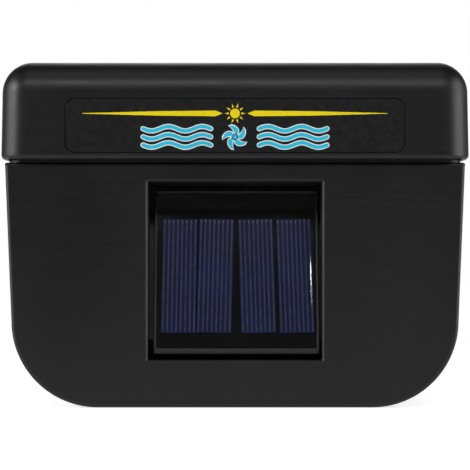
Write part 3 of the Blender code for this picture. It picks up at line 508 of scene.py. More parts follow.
class Finish:
    """A Principled material whose detail comes from noise on the object's own coordinates."""

    def __init__(self, name, roughness, metallic=0.0):
        self.material = bpy.data.materials.new(name)
        self.material.use_nodes = True
        self.tree = self.material.node_tree
        self.shader = self.tree.nodes["Principled BSDF"]
        self.shader.inputs["Roughness"].default_value = roughness
        self.shader.inputs["Metallic"].default_value = metallic
        self.place = self.add("ShaderNodeTexCoord").outputs["Object"]
        self.bumps = None

    def add(self, kind, *sources, **values):
        return new_node(self.tree, kind, *sources, **values)

    def stretched(self, scale):
        return self.add("ShaderNodeMapping", Vector=self.place, Scale=scale).outputs[0]

    def noise(self, scale, detail=3.0, vector=None, roughness=0.55):
        made = self.add(
            "ShaderNodeTexNoise",
            Vector=vector or self.place,
            Scale=scale,
            Detail=detail,
            Roughness=roughness,
        )
        return made.outputs[0]

    def cells(self, scale, vector=None, feature="F1"):
        where = vector or self.place
        return self.add("ShaderNodeTexVoronoi", Vector=where, feature=feature, Scale=scale)

    def between(self, factor, low, high, start=0.3, stop=0.7):
        """A number that follows a factor from low to high."""
        return self.add("ShaderNodeMapRange", factor, start, stop, low, high).outputs[0]

    def blend(self, factor, one, other):
        sockets = [c if isinstance(c, bpy.types.NodeSocket) else (*c, 1) for c in (one, other)]
        gap = [None] * 5
        return self.add("ShaderNodeMix", factor, *gap, *sockets, data_type="RGBA").outputs[2]

    def mottled(self, factor, color, darker, lighter, *limits):
        """A colour that a factor takes from a darker to a lighter shade."""
        share = self.between(factor, 0, 1, *limits)
        return self.blend(share, shade(color, darker), shade(color, lighter))

    def bump(self, height, distance, strength=1.0):
        made = self.add("ShaderNodeBump", Height=height, Distance=distance, Strength=strength)
        if self.bumps:
            self.tree.links.new(self.bumps, made.inputs["Normal"])
        self.bumps = made.outputs[0]

    def done(self, color, roughness=None, **plain):
        for label, value in (
            ("Base Color", color),
            ("Roughness", roughness),
            ("Normal", self.bumps),
        ):
            if value is not None:
                self.tree.links.new(value, self.shader.inputs[label])
        for label, value in plain.items():
            self.shader.inputs[label.replace("_", " ")].default_value = value
        return self.material


def shade(color, factor):
    return tuple(min(1.0, part * factor) for part in color)


def moulded_plastic(name, color, low=0.34, high=0.42, grain=1.0):
    """Satin ABS: fine spark-eroded grain, faint flow marks, a trace of handling."""
    made = Finish(name, low)
    flow = made.noise(24, 2, made.stretched((1, 1, 0.35)))
    tone = made.mottled(flow, color, 0.86, 1.16)
    speck = made.between(made.noise(900, 4, roughness=0.7), 0, 0.35, 0.66, 0.9)
    dust = made.blend(speck, tone, shade(color, 2.6))
    rub = made.between(made.noise(70, 5, made.stretched((1, 1, 9)), 0.7), -0.05, 0.05)
    flow_gloss = made.between(flow, low, high)
    rough = made.add("ShaderNodeMath", flow_gloss, rub, operation="ADD").outputs[0]
    made.bump(made.noise(2600, 2), 0.012 * MM * grain, 0.55)
    made.bump(flow, 0.05 * MM, 0.25)
    return made.done(dust, rough, Specular_IOR_Level=0.42)


def label_gloss(name, color):
    """A varnished printed label: nearly flat, with a slight orange peel."""
    gloss = 0.3
    made = Finish(name, gloss)
    tone = made.mottled(made.noise(60, 3), color, 0.94, 1.04)
    made.bump(made.noise(260, 2), 0.01 * MM, 0.3)
    rough = made.between(made.noise(500, 3), gloss * 0.8, gloss * 1.35)
    return made.done(tone, rough, Coat_Weight=0.15, Coat_Roughness=0.12)


def silicon(name, color):
    """Polycrystalline cell: dark blue with large angular grains."""
    made = Finish(name, 0.3)
    grains = made.cells(420, made.stretched((1, 1, 0.3)))
    pick = made.add("ShaderNodeSeparateColor", Color=grains.outputs["Color"]).outputs[0]
    tone = made.mottled(pick, color, 0.92, 1.1, 0, 1)
    deep = (color[0] * 0.9, color[1] * 1.7, color[2] * 1.35)
    patch = made.between(made.noise(46, 1), 0, 1, 0.5, 0.68)
    rough = made.between(made.noise(700, 3), 0.4, 0.5)
    made.bump(made.noise(900, 2), 0.004 * MM, 0.3)
    return made.done(made.blend(patch, tone, deep), rough, Specular_IOR_Level=0.08)


def printed_silver(name, color):
    made = Finish(name, 0.45)
    tone = made.mottled(made.noise(420, 4), color, 0.7, 1.35)
    made.bump(made.noise(2500, 2), 0.004 * MM, 0.3)
    return made.done(tone, made.between(made.noise(900, 3), 0.45, 0.6), Specular_IOR_Level=0.15)


def clear_resin(name):
    """Cast resin over the cells: shows what is under it and mirrors lamps by Fresnel."""
    made = Finish(name, 0.05, 1.0)
    made.bump(made.noise(95, 2, made.stretched((1, 1, 0.6))), 0.06 * MM, 0.35)
    facing = made.add("ShaderNodeFresnel", IOR=1.5, Normal=made.bumps).outputs[0]
    made.tree.links.new(facing, made.shader.inputs["Alpha"])
    share = made.between(made.noise(30, 2), 0, 1)
    tone = made.blend(share, (0.86, 0.88, 0.9), (0.98, 0.98, 0.98))
    return made.done(tone, made.between(made.noise(60, 4), 0.04, 0.11))


def board_lacquer(name):
    """Black solder lacquer with the weave of the board faintly under it."""
    made = Finish(name, 0.3)
    share = made.between(made.noise(140, 4), 0, 1)
    tone = made.blend(share, (0.003, 0.003, 0.0032), (0.0065, 0.0065, 0.007))
    made.bump(made.cells(900, feature="SMOOTH_F1").outputs[0], 0.01 * MM, 0.15)
    return made.done(tone, made.between(made.noise(300, 3), 0.4, 0.55), Specular_IOR_Level=0.05)


def soft_rubber(name, color):
    """Rubber skin, matt and faintly pitted."""
    made = Finish(name, 0.85)
    hole = made.cells(1400, feature="SMOOTH_F1").outputs[0]
    tone = made.mottled(hole, color, 0.55, 1.25, 0.1, 0.6)
    made.bump(hole, 0.12 * MM, 0.7)
    made.bump(made.noise(500, 4), 0.05 * MM, 0.5)
    return made.done(tone, made.between(made.noise(200, 3), 0.78, 0.95), Sheen_Weight=0.1)


def worked_metal(name, color, low, high, stretch=(1, 1, 14), scale=500):
    """Metal with fine tool or roll marks along one way."""
    made = Finish(name, low, 1.0)
    marks = made.noise(scale, 4, made.stretched(stretch), 0.7)
    tone = made.mottled(made.noise(110, 3), color, 0.82, 1.08)
    made.bump(marks, 0.01 * MM, 0.4)
    return made.done(tone, made.between(marks, low, high))


def grainy_solid(name, color):
    """Sintered ferrite: dull, even grain."""
    made = Finish(name, 0.8)
    tone = made.mottled(made.noise(1500, 4), color, 0.7, 1.3)
    made.bump(made.noise(2400, 1, made.stretched((1, 0.02, 0.02))), 0.02 * MM, 0.4)
    return made.done(tone, made.between(made.noise(800, 3), 0.7, 0.8))


def wire_skin(name, color):
    made = Finish(name, 0.4)
    tone = made.mottled(made.noise(300, 3), color, 0.85, 1.1)
    made.bump(made.noise(1500, 2), 0.01 * MM, 0.4)
    return made.done(tone, made.between(made.noise(250, 3), 0.34, 0.48))


def make_materials(settings):
    shell, panel, badge = settings.fan_shell, settings.fan_panel, settings.fan_badge
    MATERIALS.update(
        black_abs=moulded_plastic("black_abs", shell.plastic),
        # The tray is the casing plastic at half its brightness: painted shade of the window recess
        # it sits in.
        tray_black=moulded_plastic("tray_black", shade(shell.plastic, 0.5), 0.36, 0.46),
        inner_black=moulded_plastic("inner_black", shade(shell.plastic, 1.1), 0.42, 0.55, 1.6),
        badge_gloss=label_gloss("badge_gloss", badge.ground),
        print_yellow=label_gloss("print_yellow", badge.stripe),
        print_cyan=label_gloss("print_cyan", badge.sign),
        print_white=label_gloss("print_white", badge.outline),
        cell=silicon("cell", panel.silicon),
        finger=printed_silver("finger", panel.silver),
        solder=printed_silver("solder", shade(panel.silver, 1.7)),
        resin=clear_resin("resin"),
        board=board_lacquer("board"),
        rubber=soft_rubber("rubber", (0.016, 0.016, 0.017)),
        magnet=grainy_solid("magnet", (0.05, 0.05, 0.055)),
        steel=worked_metal("steel", (0.55, 0.55, 0.53), 0.24, 0.42),
        iron=worked_metal("iron", (0.2, 0.19, 0.18), 0.4, 0.6, (14, 1, 1), 900),
        brass=worked_metal("brass", (0.72, 0.5, 0.2), 0.22, 0.38),
        red_pvc=wire_skin("red_pvc", (0.45, 0.012, 0.01)),
        black_pvc=wire_skin("black_pvc", (0.012, 0.012, 0.012)),
    )


# Outlines shared by several pieces


def case_outline(inset, upper, steps=28):
    """The casings' outline as (x, z): flat bottom, round corners, then the given upper points."""
    return mirrored(arc((CORNER_X, CORNER), CORNER - inset, -90, 0, steps) + upper)


def plate_outline():
    share = (PLATE_TOP - CORNER) / (SHOULDER - CORNER)
    side = CORNER_X + CORNER
    return case_outline(0, [(side + (CASE_HALF - side) * share, PLATE_TOP)])


def collar_outline(seam, sign):
    """The rim inside the hood, from above: a U that is open at the seam, where the glass runs."""
    half, face = CASE_HALF - COLLAR_IN, abs(FACE) - COLLAR_IN
    centre = (half - COLLAR_ROUND, face - COLLAR_ROUND)
    outer = [(half, abs(seam))] + arc(centre, COLLAR_ROUND, 0, 90, 12)
    inner = [(half - COLLAR_THICK, abs(seam))]
    inner += arc(centre, COLLAR_ROUND - COLLAR_THICK, 0, 90, 12)
    path = mirrored(outer) + [(-x, y) for x, y in inner] + inner[::-1]
    return [(x, sign * y) for x, y in path]


def badge_outline(grow):
    middle = (BADGE_LOW + BADGE_HIGH) / 2
    half_high = (BADGE_HIGH - BADGE_LOW) / 2
    outline = rounded_rectangle(BADGE_HALF + grow, half_high + grow, 3 * MM + grow, 10)
    return [(x, z + middle) for x, z in outline]


def flared_slot(wide, long, outside, inside, mouth=0.45 * MM):
    """A cutter for one slot along Z: rounded ends, and a mouth that opens towards `outside`."""
    bm = bmesh.new()
    way = 1 if outside > inside else -1
    steps = (
        (outside + way * PAST, mouth + PAST),
        (outside, mouth),
        (outside - way * mouth * 0.3, mouth * 0.35),
        (outside - way * mouth, 0),
        (inside - way * PAST, 0),
    )
    rows = []
    for height, grow in steps:
        outline = rounded_rectangle(wide / 2 + grow, long / 2 + grow, SLOT_ROUND + grow, 5)
        rows.append([(x, y, height) for x, y in outline])
    add_loft(bm, rows)
    return to_object("slot", bm)


# Casings


def casing(name, sign, seam, settings):
    """An open casing: a skin with rounded edges, hollow toward the glass, with the hood's rim."""
    face = sign * abs(FACE)
    bm = bmesh.new()
    add_prism(bm, case_outline(0, [(CASE_HALF, SHOULDER)]), "Y", face, seam)
    shoulder = [e for e in bm.edges if all(v.co.z > SHOULDER - SCREW_GAP for v in e.verts)]
    round_edges(bm, shoulder, settings.shoulder_round, 4)
    for plane, radius, segments in ((face, settings.case_round, 5), (seam, 0.3 * MM, 2)):
        below = SHOULDER - 2 * settings.shoulder_round
        edges = [e for e in edges_at(bm, plane) if any(v.co.z < below for v in e.verts)]
        round_edges(bm, edges, radius, segments)
    obj = to_object(name, bm)
    hollow = bmesh.new()
    wall = settings.wall
    inner = case_outline(wall, [(CASE_HALF - wall, SHOULDER), (CASE_HALF - wall, SHOULDER + PAST)])
    add_prism(hollow, inner, "Y", face - sign * wall, seam - sign * PAST)
    cut(obj, hollow)
    rim = bmesh.new()
    add_prism(rim, collar_outline(seam, sign), "Z", COLLAR_LOW, COLLAR_TOP)
    return fuse(obj, rim)


def window_cutter(settings):
    """The window's tunnel, with a slope round its mouth whose edges are softly rounded."""
    slope = settings.chamfer
    deepest = RECESS_BACK + PAST - FACE
    steps = [(-PAST, slope + PAST), (0, slope + 0.12 * MM), (0.05 * MM, slope - 0.02 * MM)]
    steps += [(slope - 0.12 * MM, 0.06 * MM), (slope + 0.1 * MM, 0), (deepest, 0)]
    rows = []
    for depth, grow in steps:
        drop = RECESS_DROP * max(0, depth - slope) / (deepest - slope)
        low, high = WINDOW_LOW - grow, WINDOW_HIGH + grow - drop
        outline = rounded_rectangle(WINDOW_HALF + grow, (high - low) / 2, 0.5 * MM + grow * 0.4, 5)
        rows.append([(x, FACE + depth, z + (high + low) / 2) for x, z in outline])
    bm = bmesh.new()
    add_loft(bm, rows)
    return bm


def screw_profile(kind, sunk, grow, above):
    """(radius, height) from the tip up, with the seat of the head at height 0."""
    head, high, shank, length = kind
    wide = shank + grow
    profile = [(shank * 0.5 + grow, -length - grow), (wide, -length + shank * 0.6)]
    profile += [(wide, -high if sunk else 0), (head + grow, 0), (head + grow, above)]
    return profile


def screw_spaces(bm, kind, places, turn=TOWARD_REAR, sunk=False, above=PAST):
    """The clearance holes of screws, with the way in for their heads."""
    profile = screw_profile(kind, sunk, SCREW_GAP, above)
    for at in places:
        add_turned(bm, profile, Matrix.Translation(at) @ turn, sides=32)


CORNER_ZS = (62 * MM, 62 * MM, 14 * MM, 14 * MM)
PLATE_XS, CASING_XS = both(70 * MM, 58 * MM), both(68 * MM, 58 * MM)
PLATE_SCREWS = [(x, GLASS_FRONT - 0.5 * MM, z) for x, z in zip(PLATE_XS, CORNER_ZS)]
CASING_SCREWS = [(x, 15 * MM, z) for x, z in zip(CASING_XS, CORNER_ZS)]
BRIDGE_TOP = span("bridge", "Z")[1]
EAR_X, EAR_YS = 64 * MM, (-12.2 * MM, 5.2 * MM)
BRIDGE_SCREWS = [(x, y, BRIDGE_TOP + SCREW_GAP) for y in EAR_YS for x in both(EAR_X)]
HOOD_BACK = span("hood", "Y")[1]
HOOD_SCREWS = [(x, HOOD_BACK - 0.8 * MM, 89 * MM) for x in both(50 * MM)]
SADDLE_Y = span("inner_plate", "Y")[1]
STRAP_SCREWS = [(0, SADDLE_Y + 1.9 * MM, AXIS.z + up) for up in (-17 * MM, 17 * MM)]
TAB_FRONT = GLASS_REAR + 4.2 * MM
GUIDE_SCREWS = [(x, TAB_FRONT + SCREW_GAP, 42 * MM) for x in both(18 * MM, 47 * MM)]


def make_front_shell(settings):
    obj = casing("front_casing", -1, FRONT_SEAM, settings)
    inner = FACE + settings.wall - BITE
    recess = bmesh.new()
    low = (-WINDOW_HALF - RECESS_WALL, inner, WINDOW_LOW - RECESS_WALL)
    add_box(recess, low, (WINDOW_HALF + RECESS_WALL, RECESS_BACK, WINDOW_HIGH + RECESS_WALL))
    for x, _, z in PLATE_SCREWS:
        add_rod(recess, 3.2 * MM, inner, FRONT_SEAM, Matrix.Translation((x, 0, z)) @ TOWARD_REAR)
    fuse(obj, recess)
    cut(obj, window_cutter(settings))
    slot = flared_slot(SLOT_WIDE, EXHAUST_LONG, 0, settings.wall)
    cut(obj, row_of(slot, EXHAUST_COUNT, (0, EXHAUST_MIDDLE, 0), (SLOT_PITCH, 0, 0)))
    holes = bmesh.new()
    half = CLIP_HALF + 2 * SCREW_GAP
    for x in both(CLIP_X):
        low = (x - half, FACE - PAST, CLIP_LOW - 2 * SCREW_GAP)
        add_box(holes, low, (x + half, FACE + PAST, CLIP_HIGH + 2 * SCREW_GAP))
    screw_spaces(holes, SUNK, PLATE_SCREWS, sunk=True)
    cut(obj, holes)
    ribs = bmesh.new()
    for sign in (-1, 1):
        xs = sorted((sign * (TRAY_HALF - 1.2 * MM), sign * (WINDOW_HALF + 0.9 * MM)))
        low, high = (xs[0], 1.5 * MM, 6 * MM), (xs[1], 3 * MM, 50 * MM)
        add_box(ribs, low, high, PANEL_FRAME)
    fuse(obj, ribs)
    finish_piece(obj, HOUSING, "black_abs", ["front_shell"])


def make_rear_shell(settings):
    obj = casing("rear_casing", 1, REAR_SEAM, settings)
    face = -FACE
    inside = bmesh.new()
    for x, _, z in CASING_SCREWS:
        place = Matrix.Translation((x, 0, z)) @ TOWARD_REAR
        add_rod(inside, 4.4 * MM, SADDLE_Y + SCREW_GAP, face - settings.wall + BITE, place)
    for x, _, z in HOOD_SCREWS:
        place = Matrix.Translation((x, 0, z)) @ TOWARD_REAR
        add_rod(inside, 3.4 * MM, face - 9 * MM, HOOD_BACK - settings.wall - SCREW_GAP, place)
    for sign in (-1, 1):
        xs = sorted((sign * TONGUE_NEAR, sign * TONGUE_FAR))
        add_prism(inside, [(y * MM, z * MM) for y, z in TONGUE], "X", *xs)
    fuse(obj, inside)
    slot = flared_slot(SLOT_WIDE, GRILLE_LONG, 0, -settings.wall - BITE)
    slot.data.transform(Matrix.Translation((0, face, 0)) @ TOWARD_REAR)
    cut(obj, row_of(slot, GRILLE_COUNT, (0, 0, GRILLE_MIDDLE), (SLOT_PITCH, 0, 0)))
    openings = bmesh.new()
    for x, y, z in CASING_SCREWS:
        screw_spaces(openings, PAN, [(x, y - SCREW_GAP, z)], above=face + PAST - y)
    screw_spaces(openings, SUNK, HOOD_SCREWS, sunk=True)
    cut(obj, openings)
    finish_piece(obj, HOUSING, "black_abs", ["rear_shell"])


def make_plates(settings):
    """The two plates that face the glass, with the ears and the bosses on their hidden sides."""
    for name, sign, seam, face, ear in (
        ("outer_plate", -1, GLASS_FRONT - settings.wall, GLASS_FRONT, -15 * MM),
        ("inner_plate", 1, GLASS_REAR, GLASS_REAR + settings.wall, 8 * MM),
    ):
        bm = bmesh.new()
        add_prism(bm, plate_outline(), "Y", seam, face)
        rims = [e for e in bm.edges if abs(e.verts[0].co.y - e.verts[1].co.y) < 0.1 * MM]
        round_edges(bm, rims, 0.3 * MM, 2)
        obj = to_object(name + "_moulding", bm)
        raised, holes = bmesh.new(), bmesh.new()
        host = seam + BITE if sign < 0 else face - BITE
        for x in both(EAR_X):
            ys = sorted((ear, host))
            add_box(raised, (x - EAR_HALF, ys[0], EAR_LOW), (x + EAR_HALF, ys[1], PLATE_TOP))
        tops = [(x, y, BRIDGE_TOP) for x, y, _ in BRIDGE_SCREWS if y * sign > 0]
        screw_spaces(holes, PAN, tops, Matrix())
        if sign < 0:
            screw_spaces(holes, SUNK, PLATE_SCREWS, sunk=True)
        else:
            add_motor_bed(raised, holes, host)
        fuse(obj, raised)
        if sign > 0:
            bed = bmesh.new()
            place = Matrix.Translation(AXIS) @ ALONG_X
            add_rod(bed, MOTOR_BED, -SADDLE_HALF - PAST, SADDLE_HALF + PAST, place, 64)
            cut(obj, bed)
        cut(obj, holes)
        finish_piece(obj, HOUSING, "black_abs", [name])


def add_motor_bed(raised, holes, host):
    """Bosses, saddle and screw holes on the inner plate's hidden side."""
    for x, _, z in CASING_SCREWS:
        add_rod(raised, 3.6 * MM, host, SADDLE_Y, Matrix.Translation((x, 0, z)) @ TOWARD_REAR)
    screw_spaces(holes, PAN, CASING_SCREWS)
    half, high = SADDLE_HALF, 20 * MM
    add_box(raised, (-half, host, AXIS.z - high), (half, SADDLE_Y, AXIS.z + high))
    screw_spaces(holes, SHORT_PAN, GUIDE_SCREWS)
    screw_spaces(holes, PAN, STRAP_SCREWS)


# Hood and label


def hood_form(inset, low, radius, segments):
    """The hood's outer form, or its hollow when inset. All edges are round but the lower ones."""
    bm = bmesh.new()
    top = HOOD_TOP - inset
    half_wide, half_deep = CAD_HIGH.x, CAD_HIGH.y
    points = []
    for z, taper in ((low, 0), (top, HOOD_TAPER)):
        x, y = half_wide - inset - taper, half_deep - inset - taper
        points += [(-x, -y, z), (x, -y, z), (x, y, z), (-x, y, z)]
    sides = [(i, (i + 1) % 4, 4 + (i + 1) % 4, 4 + i) for i in range(4)]
    add_faces(bm, points, sides + [(0, 1, 2, 3), (7, 6, 5, 4)])
    upper = [e for e in bm.edges if any(v.co.z > top - SCREW_GAP for v in e.verts)]
    round_edges(bm, upper, radius - inset, segments)
    return bm


def make_hood(settings):
    bm = hood_form(0, HOOD_LOW, settings.hood_round, 16)
    rim = [e for e in bm.edges if all(abs(v.co.z - HOOD_LOW) < SCREW_GAP for v in e.verts)]
    round_edges(bm, rim, settings.lip_round, 6)
    obj = to_object("hood_moulding", bm)
    cut(obj, hood_form(settings.wall, HOOD_LOW - PAST, settings.hood_round, 8))
    holes = bmesh.new()
    screw_spaces(holes, SUNK, HOOD_SCREWS, sunk=True)
    cut(obj, holes)
    bed = bmesh.new()
    face, gap = CAD_LOW.y, 0.4 * MM
    steps = ((face - PAST, gap + PAST), (face, gap + 0.35 * MM), (face + 0.12 * MM, gap + 0.1 * MM))
    steps += ((face + 0.35 * MM, gap), (BADGE_FRONT + BED_DEEP, gap))
    add_loft(bed, [[(x, y, z) for x, z in badge_outline(grow)] for y, grow in steps])
    cut(obj, bed)
    clips = bmesh.new()
    for x in both(CLIP_X):
        near, far = face + settings.wall - BITE, FACE + 3.2 * MM
        add_box(clips, (x - CLIP_HALF, near, CLIP_LOW), (x + CLIP_HALF, far, CLIP_HIGH))
    fuse(obj, clips)
    finish_piece(obj, HOUSING, "black_abs", ["hood"])


def wave_band(left, right, swing, thick, turns=2.0, steps=48):
    """A wavy band with round ends, as an XZ outline."""
    upper, lower = [], []
    for i in range(steps + 1):
        share = i / steps
        x = left + (right - left) * share
        phase = 2 * math.pi * turns * share
        z = swing * math.sin(phase)
        slope = swing * 2 * math.pi * turns / (right - left) * math.cos(phase)
        side = Vector((-slope, 1)).normalized() * thick / 2
        upper.append((x + side.x, z + side.y))
        lower.append((x - side.x, z - side.y))
    across = Vector(upper[-1]) - Vector(lower[-1])
    tilt = math.atan2(across.y, across.x) - math.pi / 2
    head = round_end(upper[-1], lower[-1], thick / 2, 90, tilt)
    return upper + head + lower[::-1] + round_end(upper[0], lower[0], thick / 2, 270, tilt)


def round_end(one, other, radius, start, tilt):
    """The half circle between two points of a band, without the points themselves."""
    middle = Vector(((one[0] + other[0]) / 2, (one[1] + other[1]) / 2))
    spin = Matrix.Rotation(tilt, 2)
    points = arc(tuple(middle), radius, start, start - 180, 8)[1:-1]
    return [tuple(middle + spin @ (Vector(p) - middle)) for p in points]


def petal(grow, near=1.0 * MM, far=4.1 * MM, steps=14):
    """One blade of the rotor sign, as an XZ outline round the origin."""
    sides = ([], [])
    for i in range(steps + 1):
        share = i / steps
        reach = near - grow + (far - near + 2 * grow) * share
        half = 0.3 * MM + grow + 0.95 * MM * math.sin(math.pi * share**0.8) * (0.35 + 0.65 * share)
        angle = 0.75 * share**1.5
        middle = Vector((reach * math.cos(angle), reach * math.sin(angle)))
        side = Vector((-math.sin(angle), math.cos(angle))) * half
        sides[0].append(tuple(middle + side))
        sides[1].append(tuple(middle - side))
    return sides[0] + sides[1][::-1]


def printed(layer, *outlines):
    """Flat shapes printed on the label."""
    bm = bmesh.new()
    for outline in outlines:
        add_prism(bm, outline, "Y", BADGE_FRONT - layer, BADGE_FRONT + 0.02 * MM)
    return to_object("print", bm)


def disc(radius, height):
    return [(x, z + height) for x, z in arc((0, 0), radius, 0, 345, 23)]


SUN_Z, SIGN_Z = 99.6 * MM, 91.7 * MM


def make_badge():
    bm = bmesh.new()
    add_prism(bm, badge_outline(0), "Y", BADGE_FRONT, BADGE_BACK)
    round_edges(bm, edges_at(bm, BADGE_FRONT), 0.12 * MM, 3)
    finish_piece(to_object("badge_plate", bm), HOUSING, "badge_gloss", ["badge"])
    thin, thick = 0.03 * MM, 0.05 * MM
    upper = [(4.2, 0), (6.5, 0.95), (26, 0.75), (51.5, 0.08)]
    taper = upper + [(x, -z) for x, z in upper[:0:-1]]
    lines = [[(sign * x * MM, SUN_Z + z * MM) for x, z in taper] for sign in (-1, 1)]
    ray = printed(thick, [(2.15 * MM, -0.36 * MM), (3.5 * MM, 0), (2.15 * MM, 0.36 * MM)])
    rays = ring_of(ray, 10, (0, 1, 0), (0, 0, SUN_Z))
    stripe = join("badge_stripe", [printed(thick, *lines, disc(1.65 * MM, SUN_Z)), rays])
    finish_piece(stripe, HOUSING, "badge_gloss", finish=MATERIALS["print_yellow"])
    for name, finish, layer, grow in (
        ("badge_outline", "print_white", thin, 0.32 * MM),
        ("badge_sign", "print_cyan", thick, 0),
    ):
        blades = ring_of(printed(layer, petal(grow)), 5, (0, 1, 0), (0, 0, SIGN_Z))
        parts = [blades, printed(layer, disc(0.75 * MM + grow, SIGN_Z))]
        for sign in (-1, 1):
            ends = sorted((sign * 8.2 * MM, sign * 31 * MM))
            band = printed(layer, wave_band(*ends, sign * 0.75 * MM, 1.15 * MM + 2 * grow))
            parts.append(row_of(band, 3, (0, 0, SIGN_Z), (0, 0, 2.75 * MM)))
        finish_piece(join(name, parts), HOUSING, "badge_gloss", finish=MATERIALS[finish])


# Solar panel


def make_tray():
    low, high = (-TRAY_HALF, -TRAY_RIM, 0), (TRAY_HALF, TRAY_FLOOR, TRAY_LONG)
    obj = soft_box("panel_frame_moulding", low, high, 0.25 * MM)
    steps = (
        (-TRAY_RIM - PAST, 0.3 * MM + PAST),
        (-TRAY_RIM, 0.3 * MM),
        (-TRAY_RIM + 0.1 * MM, 0.1 * MM),
        (-TRAY_RIM + 0.3 * MM, 0),
        (0, 0),
    )
    pocket = bmesh.new()
    rows = []
    for y, grow in steps:
        half = (POCKET_TOP - TRAY_BAR) / 2 + grow
        outline = rounded_rectangle(POCKET_HALF + grow, half, 0.4 * MM + grow, 5)
        rows.append([(x, y, z + (POCKET_TOP + TRAY_BAR) / 2) for x, z in outline])
    add_loft(pocket, rows)
    cut(obj, pocket)
    posts = []
    for x in both(TRAY_HALF - 0.75 * MM):
        low = (x - 0.6 * MM, -TRAY_RIM - 0.25 * MM, 0.1 * MM)
        high = (x + 0.6 * MM, -TRAY_RIM + MM, 2.3 * MM)
        posts.append(soft_box("post", low, high, 0.2 * MM))
    fuse(obj, join("posts", posts))
    way = bmesh.new()
    add_box(way, (2.2 * MM, -MM, 48.4 * MM), (7.8 * MM, TRAY_FLOOR + PAST, 51.6 * MM))
    cut(obj, way)
    obj.data.transform(PANEL_FRAME)
    # Its finish is the casing plastic darkened to half, as painted shade of the recess.
    finish_piece(obj, HOUSING, "inner_black", ["panel_tray"], MATERIALS["tray_black"])


def make_board():
    low = (-POCKET_HALF + SCREW_GAP, -1.5 * MM, TRAY_BAR + SCREW_GAP)
    high = (POCKET_HALF - SCREW_GAP, -0.3 * MM, POCKET_TOP - SCREW_GAP)
    obj = soft_box("panel_board_lacquered", low, high, 0.1 * MM, 2)
    obj.data.transform(PANEL_FRAME)
    finish_piece(obj, HOUSING, "inner_black", ["panel_board"], MATERIALS["board"])


def make_cells(settings):
    """The cells, their printed lines, and the solder at the lines' upper ends."""
    wide, high = CELL_WIDE / 2, CELL_LONG / 2
    half, long = settings.finger_wide / 2, high - 0.5 * MM
    dot_low, dot_high = (-half * 1.3, high - 1.5 * MM), (half * 1.3, high - 0.3 * MM)
    cells, fingers, solder = [], [], []
    for at, lean in CELLS:
        place = PANEL_FRAME @ Matrix.Translation((at * MM, -1.9 * MM, CELL_LOW + high))
        place = place @ Matrix.Rotation(math.radians(lean), 4, "Y")
        low = (-wide, -0.1 * MM, -high)
        cells.append(soft_box("cell", low, (wide, 0.1 * MM, high), 0.04 * MM, 2))
        bm = bmesh.new()
        add_box(bm, (-half, -0.13 * MM, -long), (half, -0.08 * MM, long))
        low, top = (dot_low[0], -0.16 * MM, dot_low[1]), (dot_high[0], -0.08 * MM, dot_high[1])
        dot = soft_box("dot", low, top, 0.03 * MM, 2)
        step = (settings.finger_pitch, 0, 0)
        for made, strip in ((fingers, to_object("strip", bm)), (solder, dot)):
            made.append(row_of(strip, settings.fingers, (0, 0, 0), step))
        for made in (cells, fingers, solder):
            made[-1].data.transform(place)
    names = [f"cell_{i + 1}" for i in range(len(CELLS))]
    finish_piece(join("panel_cells", cells), HOUSING, "cell", names)
    finish_piece(join("panel_fingers", fingers), HOUSING, "cell", finish=MATERIALS["finger"])
    finish_piece(join("panel_solder", solder), HOUSING, "cell", finish=MATERIALS["solder"])


# Resin, in millimetres: how far its face stands out and how strongly it waves
RESIN_FACE, RIM_CLIMB, RIM_REACH = 2.8, 0.24, 0.72
FLOW_HIGH, FLOW_WIDE, FLOW_LEVEL, FLOW_REACH = 0.085, 0.2, 52.9, 19
RIDGE_HIGH, RIDGE_WIDE, RIDGE_LONG, RIDGE_LEVEL = 0.68, 0.65, 15, 25.6


def bell(value, width, power=2):
    """1 in the middle, and near 0 past the width."""
    return math.exp(-((value / width) ** power))


def resin_height(x, z, half, low, high):
    """How far the resin's face stands out at a place."""
    across, up = x / MM, z / MM
    swell = 0.035 * math.sin(across * 0.42 + 0.8) * math.cos(up * 0.21 + 0.4)
    swell += 0.022 * math.sin(across * 0.93 + up * 0.35 + 2.1)
    swell += 0.012 * math.sin(across * 1.7 - up * 0.9)
    # A flow line runs across near the top.
    level = FLOW_LEVEL + 0.7 * math.tanh(across / 7) + 0.25 * math.sin(across * 0.33)
    flow = FLOW_HIGH * bell(across + 1, FLOW_REACH, 6) * bell(up - level, FLOW_WIDE)
    # The resin climbs the walls at its sides, and is calm beside them.
    side, end = (half - abs(x)) / MM, min(z - low, high - z) / MM
    climb = RIM_CLIMB * math.exp(-side / RIM_REACH) * min(1, end / 2)
    calm = min(1, max(0, side - 2.5) / 3, end / 3)
    # On the right it stands up in a short ridge along the wall.
    crest = 26.1 - 0.02 * (up - 27)
    ridge = RIDGE_HIGH * bell(across - crest, RIDGE_WIDE) * bell(up - RIDGE_LEVEL, RIDGE_LONG)
    return (RESIN_FACE + swell * calm + flow + climb + ridge) * MM


def resin_rows(count, extra):
    """Shares of the height: crowded towards both rims, and again where the flow line runs."""
    rows = [0.5 - 0.5 * math.cos(math.pi * i / count) for i in range(count + 1)]
    rows += [0.9 + 0.05 * i / extra for i in range(extra)]
    return sorted(set(rows))


